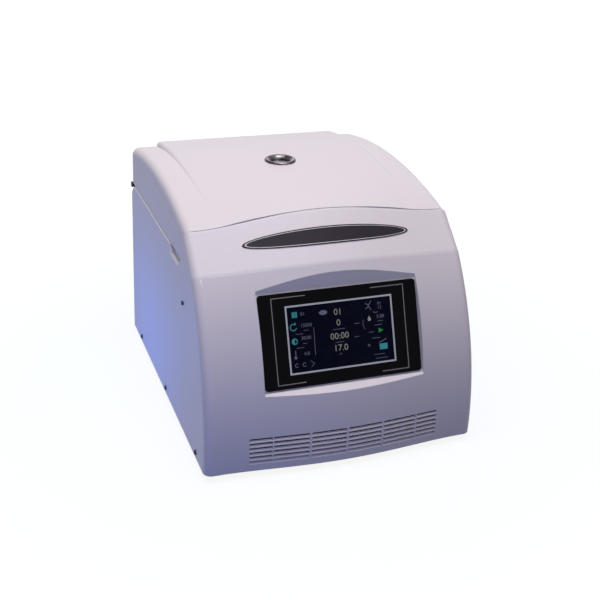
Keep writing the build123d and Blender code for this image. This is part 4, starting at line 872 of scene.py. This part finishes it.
# Circuit boards: glass-fibre laminate under green solder mask, with copper tracks that show through it.
board_mask = bpy.data.materials.new("solder_mask")
board_mask.use_nodes = True
mask = board_mask.node_tree
mask_shader = mask.nodes["Principled BSDF"]
tracks = {"Vector": own_place(mask), "Scale": 240.0, "Randomness": 0.75}
tracks = wire(mask, "ShaderNodeTexVoronoi", tracks, distance="MANHATTAN", feature="F1")
on_track = remap(mask, tracks.outputs["Distance"], 0.42, 0.5)
mask_tone = blend(mask, on_track, screen_colour(22, 84, 48), screen_colour(40, 118, 66))
mask.links.new(mask_tone, mask_shader.inputs["Base Color"])
mask_rise = wire(mask, "ShaderNodeBump", {"Height": on_track, "Distance": 0.00004})
mask.links.new(mask_rise.outputs["Normal"], mask_shader.inputs["Normal"])
mask.links.new(remap(mask, on_track, 0.0, 1.0, 0.32, 0.24), mask_shader.inputs["Roughness"])
dress(board_mask, "display_board", "drive_board")

# Display: a lit panel in a pressed metal frame behind a clear touch glass. Its picture is plain: numbers
# for the run, and small signs for what each one is.
display_origin = Vector((0, -0.213, 0.1845))
display_up = Vector((0, 0.35837, 0.93358))
display_out = Vector((0, -0.93358, 0.35837))
display_turn = Matrix((Vector((1, 0, 0)), display_up, display_out)).transposed().to_4x4()
on_display = Matrix.Translation(display_origin) @ display_turn @ Matrix.Scale(mm, 4)
panel_half_width = 77.1
panel_half_height = 46.25
panel_depth = -1.99
picture_depth = -1.9
picture_low = picture_depth - 0.03
picture_high = picture_depth + 0.03
pressed_frame = finish(
    "pressed_frame",
    scratches,
    {
        "Colour": screen_colour(166, 168, 172),
        "Roughness": 0.36,
        "Stretch": (0.05, 1.0, 1.0),
        "Scratches per metre": 900.0,
    },
    0.00002,
    {"Metallic": 1.0},
)
dress(pressed_frame, "lcd_module")


def slab(shape, outline, low, high):
    """A flat plate with that outline, in display millimetres, from one depth to another."""
    under = [shape.verts.new(on_display @ Vector((x, y, low))) for x, y in outline]
    over = [shape.verts.new(on_display @ Vector((x, y, high))) for x, y in outline]
    shape.faces.new(under[::-1])
    shape.faces.new(over)
    for here in range(len(outline)):
        there = (here + 1) % len(outline)
        shape.faces.new((under[here], under[there], over[there], over[here]))


def stroke(shape, points, width, low, high):
    """A line of that width through the points, with mitred corners."""
    path = [Vector(point) for point in points]
    left = []
    right = []
    for index, point in enumerate(path):
        before = (point - path[index - 1]).normalized() if index else None
        after = (path[index + 1] - point).normalized() if index < len(path) - 1 else None
        before = before or after
        after = after or before
        square = (before + after).normalized().orthogonal()
        reach = width / 2 / max(0.3, square.dot(before.orthogonal()))
        left.append(point + square * reach)
        right.append(point - square * reach)
    outline = [tuple(point) for point in right + left[::-1]]
    slab(shape, outline, low, high)


def arc_points(centre, radius, start, end, count, squash=1.0):
    """Points along an arc, in degrees."""
    turns = [math.radians(start + (end - start) * step / (count - 1)) for step in range(count)]
    return [(centre[0] + radius * math.cos(t), centre[1] + squash * radius * math.sin(t)) for t in turns]


def disc(shape, centre, radius, low, high, squash=1.0):
    """A round or oval plate."""
    slab(shape, arc_points(centre, radius, 0, 345, 24, squash), low, high)


def panel_light(name, colour):
    """A lit part of the picture, whose light is broken up by the panel's fine grid of dots."""
    material = bpy.data.materials.new(name)
    material.use_nodes = True
    tree = material.node_tree
    shader = tree.nodes["Principled BSDF"]
    place = own_place(tree)
    dots_and_haze = reckon(tree, "ADD", noise(tree, place, 2600.0, 1.0), noise(tree, place, 14.0, 2.0))
    level = remap(tree, dots_and_haze, 0.7, 1.3, 0.8, 1.15)
    tone = wire(tree, "ShaderNodeHueSaturation", {"Color": colour, "Value": level}).outputs[0]
    tree.links.new(tone, shader.inputs["Emission Color"])
    shader.inputs["Emission Strength"].default_value = 1.0
    shader.inputs["Base Color"].default_value = (0.001, 0.001, 0.0015, 1)
    shader.inputs["Roughness"].default_value = 0.35
    shader.inputs["Specular IOR Level"].default_value = 0.0
    return material


panel_face = bmesh.new()
corners = ((-1, -1), (1, -1), (1, 1), (-1, 1))
panel_corners = [(sx * panel_half_width, sy * panel_half_height) for sx, sy in corners]
slab(panel_face, panel_corners, panel_depth, picture_low)
navy_light = panel_light("panel_navy", screen_colour(7, 8, 22))
add_piece("lcd_face", panel_face, navy_light, "base")

pale = bmesh.new()
picture_numbers = (
    ("01", -2.0, 30.4, 8.6),
    ("0", -2.3, 15.7, 8.6),
    ("00:00", -2.1, -2.4, 8.6),
    ("17.0", -1.5, -18.7, 8.6),
)
for text, x, y, height in picture_numbers:
    add_lettering(pale, text, height, on_display @ Matrix.Translation((x, y, picture_depth)))
disc(pale, (43.0, 15.2), 2.4, picture_low, picture_high)
slab(pale, ((40.7, 15.9), (45.3, 15.9), (43.0, 20.4)), picture_low, picture_high)
grey_light = panel_light("panel_pale", screen_colour(126, 123, 120))
add_piece("picture_numbers", pale, grey_light, "base")

# Small figures and signs in a dimmer grey, set out beside the large ones: what is stored, and short lines
# where a word would stand.
dim = bmesh.new()
small_figures = (
    ("01", -52.5, 33.5, 4.6),
    ("15000", -48.6, 17.9, 4.6),
    ("30:00", -50.2, 0.9, 4.6),
    ("4.0", -50.9, -20.4, 4.6),
    ("5.00", 59.6, 17.6, 4.6),
    ("01", 59.4, 35.6, 4.2),
    ("12", 59.4, 29.8, 4.2),
)
for text, x, y, height in small_figures:
    add_lettering(dim, text, height, on_display @ Matrix.Translation((x, y, picture_depth)))
short_lines = (
    (-11.5, 7.2, 6.5, 7.2),
    (-9.0, -10.6, 3.5, -10.6),
    (-64.5, 7.1, -54.0, 7.1),
    (-65.0, -11.5, -54.5, -11.5),
    (-52.5, 11.0, -46.0, 11.2),
    (-55.5, -6.3, -49.5, -6.3),
    (-38.2, 13.8, -39.0, -23.5),
    (20.5, 11.8, 28.0, 11.8),
    (19.5, -6.2, 26.0, -6.2),
    (55.0, 11.4, 63.0, 11.4),
    (50.0, 6.2, 61.0, 6.2),
    (41.0, -2.8, 48.0, -2.8),
    (45.0, -11.5, 57.0, -11.5),
    (46.0, -34.4, 62.0, -34.4),
    (48.0, -39.8, 66.0, -39.8),
)
for x0, y0, x1, y1 in short_lines:
    stroke(dim, ((x0, y0), (x1, y1)), 0.6, picture_low, picture_high)
stroke(dim, ((-4.6, -27.4), (-2.6, -26.0), (-0.6, -27.4)), 0.6, picture_low, picture_high)
stroke(dim, ((-46.5, -30.8), (-41.5, -34.8), (-46.0, -39.0)), 0.7, picture_low, picture_high)
stroke(dim, ((33.9, 15.5), (33.0, 9.0), (35.3, 2.6)), 0.6, picture_low, picture_high)
stroke(dim, ((38.5, 37.8), (43.3, 34.6), (47.6, 40.4)), 0.9, picture_low, picture_high)
stroke(dim, ((38.5, 29.6), (43.3, 33.2), (46.6, 27.6)), 0.9, picture_low, picture_high)
stroke(dim, arc_points((53.0, 30.0), 6.4, 235, 300, 8), 0.8, picture_low, picture_high)
stroke(dim, ((37.8, -18.8), (41.2, -22.2)), 0.7, picture_low, picture_high)
stroke(dim, ((37.8, -22.2), (41.2, -18.8)), 0.7, picture_low, picture_high)
stroke(dim, ((-66.8, -14.6), (-66.9, -22.5)), 1.0, picture_low, picture_high)
disc(dim, (-67.2, -24.4), 1.9, picture_low, picture_high)
disc(dim, (-23.2, 32.1), 6.0, picture_low, picture_high, 0.55)
stroke(dim, ((54.8, -18.6), (65.9, -14.2)), 0.9, picture_low, picture_high)
for x in (-66.6, -55.6):
    stroke(dim, arc_points((x, -34.8), 2.4, 40, 320, 14), 0.8, picture_low, picture_high)
dim_light = panel_light("panel_dim", screen_colour(92, 94, 112))
add_piece("picture_small_signs", dim, dim_light, "base")

# Coloured signs: teal for what is set, such as the speed and the time, and green for the start of the
# run.
teal = bmesh.new()
for x in (-66.0, -62.0):
    page = ((x - 1.7, 29.6), (x + 1.7, 29.6), (x + 1.7, 37.4), (x - 1.7, 37.4))
    slab(teal, page, picture_low, picture_high)
stroke(teal, arc_points((-66.9, 16.9), 4.4, 60, 345, 22), 1.2, picture_low, picture_high)
slab(teal, ((-66.2, 19.6), (-62.6, 20.2), (-64.4, 23.6)), picture_low, picture_high)
stroke(teal, arc_points((-66.7, -2.3), 3.6, 0, 350, 26), 1.5, picture_low, picture_high)
slab(teal, arc_points((-66.7, -2.3), 3.4, 90, 270, 14), picture_low, picture_high)
slab(teal, ((55.2, -28.4), (66.8, -28.4), (66.8, -20.2), (55.2, -20.2)), picture_low, picture_high)
teal_light = panel_light("panel_teal", screen_colour(54, 122, 132))
add_piece("picture_teal_signs", teal, teal_light, "base")
green = bmesh.new()
slab(green, ((55.6, -5.0), (62.6, -1.6), (55.6, 1.8)), picture_low, picture_high)
green_light = panel_light("panel_green", screen_colour(32, 118, 56))
add_piece("picture_start_sign", green, green_light, "base")

# Touch glass: clear and bonded to the panel, with a coat that takes its reflections away, and a faint smear
# of fingers.


def clear_glass(name, colour, index, smear, smeared_from, most):
    """Clear glass. Where the smear passes smeared_from its roughness rises towards most.

    smear holds the scale and the distortion of the smears, and index is the glass's refractive index.
    """
    material = bpy.data.materials.new(name)
    material.use_nodes = True
    tree = material.node_tree
    shader = tree.nodes["Principled BSDF"]
    scale, distortion = smear
    fingers = noise(tree, own_place(tree), scale, 3.0, distortion=distortion)
    tree.links.new(remap(tree, fingers, smeared_from, 1.0, 0.0, most), shader.inputs["Roughness"])
    shader.inputs["Base Color"].default_value = colour
    shader.inputs["Transmission Weight"].default_value = 1.0
    shader.inputs["IOR"].default_value = index
    return material


touch_cover = clear_glass(
    "coated_touch_glass",
    colour=(0.9, 0.92, 0.95, 1),
    index=1.001,
    smear=(30.0, 1.2),
    smeared_from=0.5,
    most=0.02,
)
dress(touch_cover, "touch_glass")

# Bezel: a black printed gloss panel round the glass, with a bright trim at the glass's edge and a thin
# grey line that is broken at the top and the bottom.
bezel_gloss = finish(
    "bezel_gloss",
    grain,
    {"Colour": screen_colour(10, 10, 13), "Roughness": 0.2, "Grains per metre": 160.0, "Mottle": 0.3},
    0.00001,
    {"Specular IOR Level": 0.03},
)
dress(bezel_gloss, "display_bezel")
trim_width = 2.3
trim_inner = 75.2
trim_low = -0.19
trim_high = 0.22
trim = bmesh.new()
trim_half_x = trim_inner + trim_width / 2
trim_half_y = trim_half_x - (panel_half_width - panel_half_height)
inner_x = trim_half_x - trim_width / 2
inner_y = trim_half_y - trim_width / 2
outer_x = trim_half_x + trim_width / 2
outer_y = trim_half_y + trim_width / 2
for start, end in zip(corners, corners[1:] + corners[:1]):
    outline = [(start[0] * outer_x, start[1] * outer_y), (end[0] * outer_x, end[1] * outer_y)]
    outline += [(end[0] * inner_x, end[1] * inner_y), (start[0] * inner_x, start[1] * inner_y)]
    slab(trim, outline, trim_low, trim_high)
bmesh.ops.remove_doubles(trim, verts=trim.verts, dist=1e-6)
silver_film = finish(
    "silver_film",
    scratches,
    {
        "Colour": screen_colour(176, 176, 184),
        "Roughness": 0.5,
        "Stretch": (1.0, 1.0, 1.0),
        "Scratches per metre": 600.0,
    },
    0.00001,
    {"Metallic": 0.2},
)
add_piece("screen_trim", trim, silver_film, "base")
outer_line = bmesh.new()
line_x = 95.5
line_y = 58.4
line_width = 1.2
print_low = -0.02
print_high = 0.05
for points in (
    ((-47.4, line_y), (-line_x, line_y), (-line_x, -line_y), (-56.0, -line_y)),
    ((46.8, line_y), (line_x, line_y), (line_x, -line_y), (55.9, -line_y)),
):
    stroke(outer_line, points, line_width, print_low, print_high)
grey_print = finish(
    "grey_print",
    grain,
    {"Colour": screen_colour(124, 122, 124), "Roughness": 0.5, "Grains per metre": 1500.0, "Mottle": 0.1},
    0.00001,
)
add_piece("bezel_line", outer_line, grey_print, "base")

# Nameplate: an oval of dark gloss plastic that follows the brow, with a thin silver line just inside its
# rim. Its face is bare.
plate_low, plate_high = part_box("nameplate")
brow_out = Vector((0, -0.6585, 0.7526))
brow_up = Vector((0, 0.7526, 0.6585))
plate_middle = (plate_low + plate_high) / 2
plate_gloss = finish(
    "nameplate_gloss",
    grain,
    {"Colour": screen_colour(52, 46, 54), "Roughness": 0.34, "Grains per metre": 120.0, "Mottle": 0.25},
    0.00002,
    {"Specular IOR Level": 0.06},
)
dress(plate_gloss, "nameplate")
plate_surface = surface_of("nameplate")
half_long = 121.0
half_high = 13.5
line_inset = 1.9
inner_step = 0.5
outer_step = 0.4
line_lift = 0.08
end_share = 2.2
oval_line = bmesh.new()


def oval_points(inset, count=220):
    """Points of the nameplate's outline moved inwards, and more so at its narrow ends, in metres."""
    steps = [2 * math.pi * step / count for step in range(count)]
    x_reach = (half_long - end_share * inset) * mm
    up_reach = (half_high - inset) * mm
    sideways = Vector((x_reach, 0, 0))
    return [plate_middle + sideways * math.cos(t) + brow_up * up_reach * math.sin(t) for t in steps]


line_inner = oval_points(line_inset + inner_step)
line_outer = oval_points(line_inset - outer_step)
band(oval_line, line_inner, line_outer, plate_surface, -brow_out, line_lift * mm)
add_piece("nameplate_line", oval_line, silver_film, "base")

# Sight glass: a polished chrome ring on the lid round a clear glass, with a second glass at the bottom of
# its tube, so that a strobe can read the rotor's speed.
chrome = finish(
    "polished_chrome",
    scratches,
    {
        "Colour": screen_colour(150, 142, 148),
        "Roughness": 0.12,
        "Stretch": (1.0, 1.0, 1.0),
        "Scratches per metre": 500.0,
    },
    0.000003,
    {"Metallic": 1.0},
)
# Painted reflection: the ring's colour is made darker where it leans left, right or forward, and a painted
# glint makes it bright where it leans back. Together they stand in for polished metal's reflections of a
# dim room.
plated = chrome.node_tree
plated_shader = plated.nodes["Principled BSDF"]
facing = plated.nodes.new("ShaderNodeNewGeometry").outputs["Normal"]
facing = wire(plated, "ShaderNodeSeparateXYZ", {0: facing}).outputs
painted_reflection_level = remap(plated, reckon(plated, "ABSOLUTE", facing["X"]), 0.05, 0.4, 1.0, 0.25)
# A painted glint on the side of the ring that leans back.
painted_glint_level = remap(plated, facing["Y"], -0.1, 0.3, 0.75, 2.4)
painted_reflection_level = reckon(plated, "MULTIPLY", painted_reflection_level, painted_glint_level)
plated_colour = plated_shader.inputs["Base Color"].links[0].from_socket
plated_colour = wire(plated, "ShaderNodeHueSaturation", {"Color": plated_colour, "Value": painted_reflection_level}).outputs[0]
plated.links.new(plated_colour, plated_shader.inputs["Base Color"])
dress(chrome, "sight_ring")
sight_panes = clear_glass(
    "clear_glass",
    colour=(0.93, 0.97, 0.96, 1),
    index=1.46,
    smear=(90.0, 0.8),
    smeared_from=0.45,
    most=0.1,
)
dress(sight_panes, "sight_glass", "lower_sight_glass")
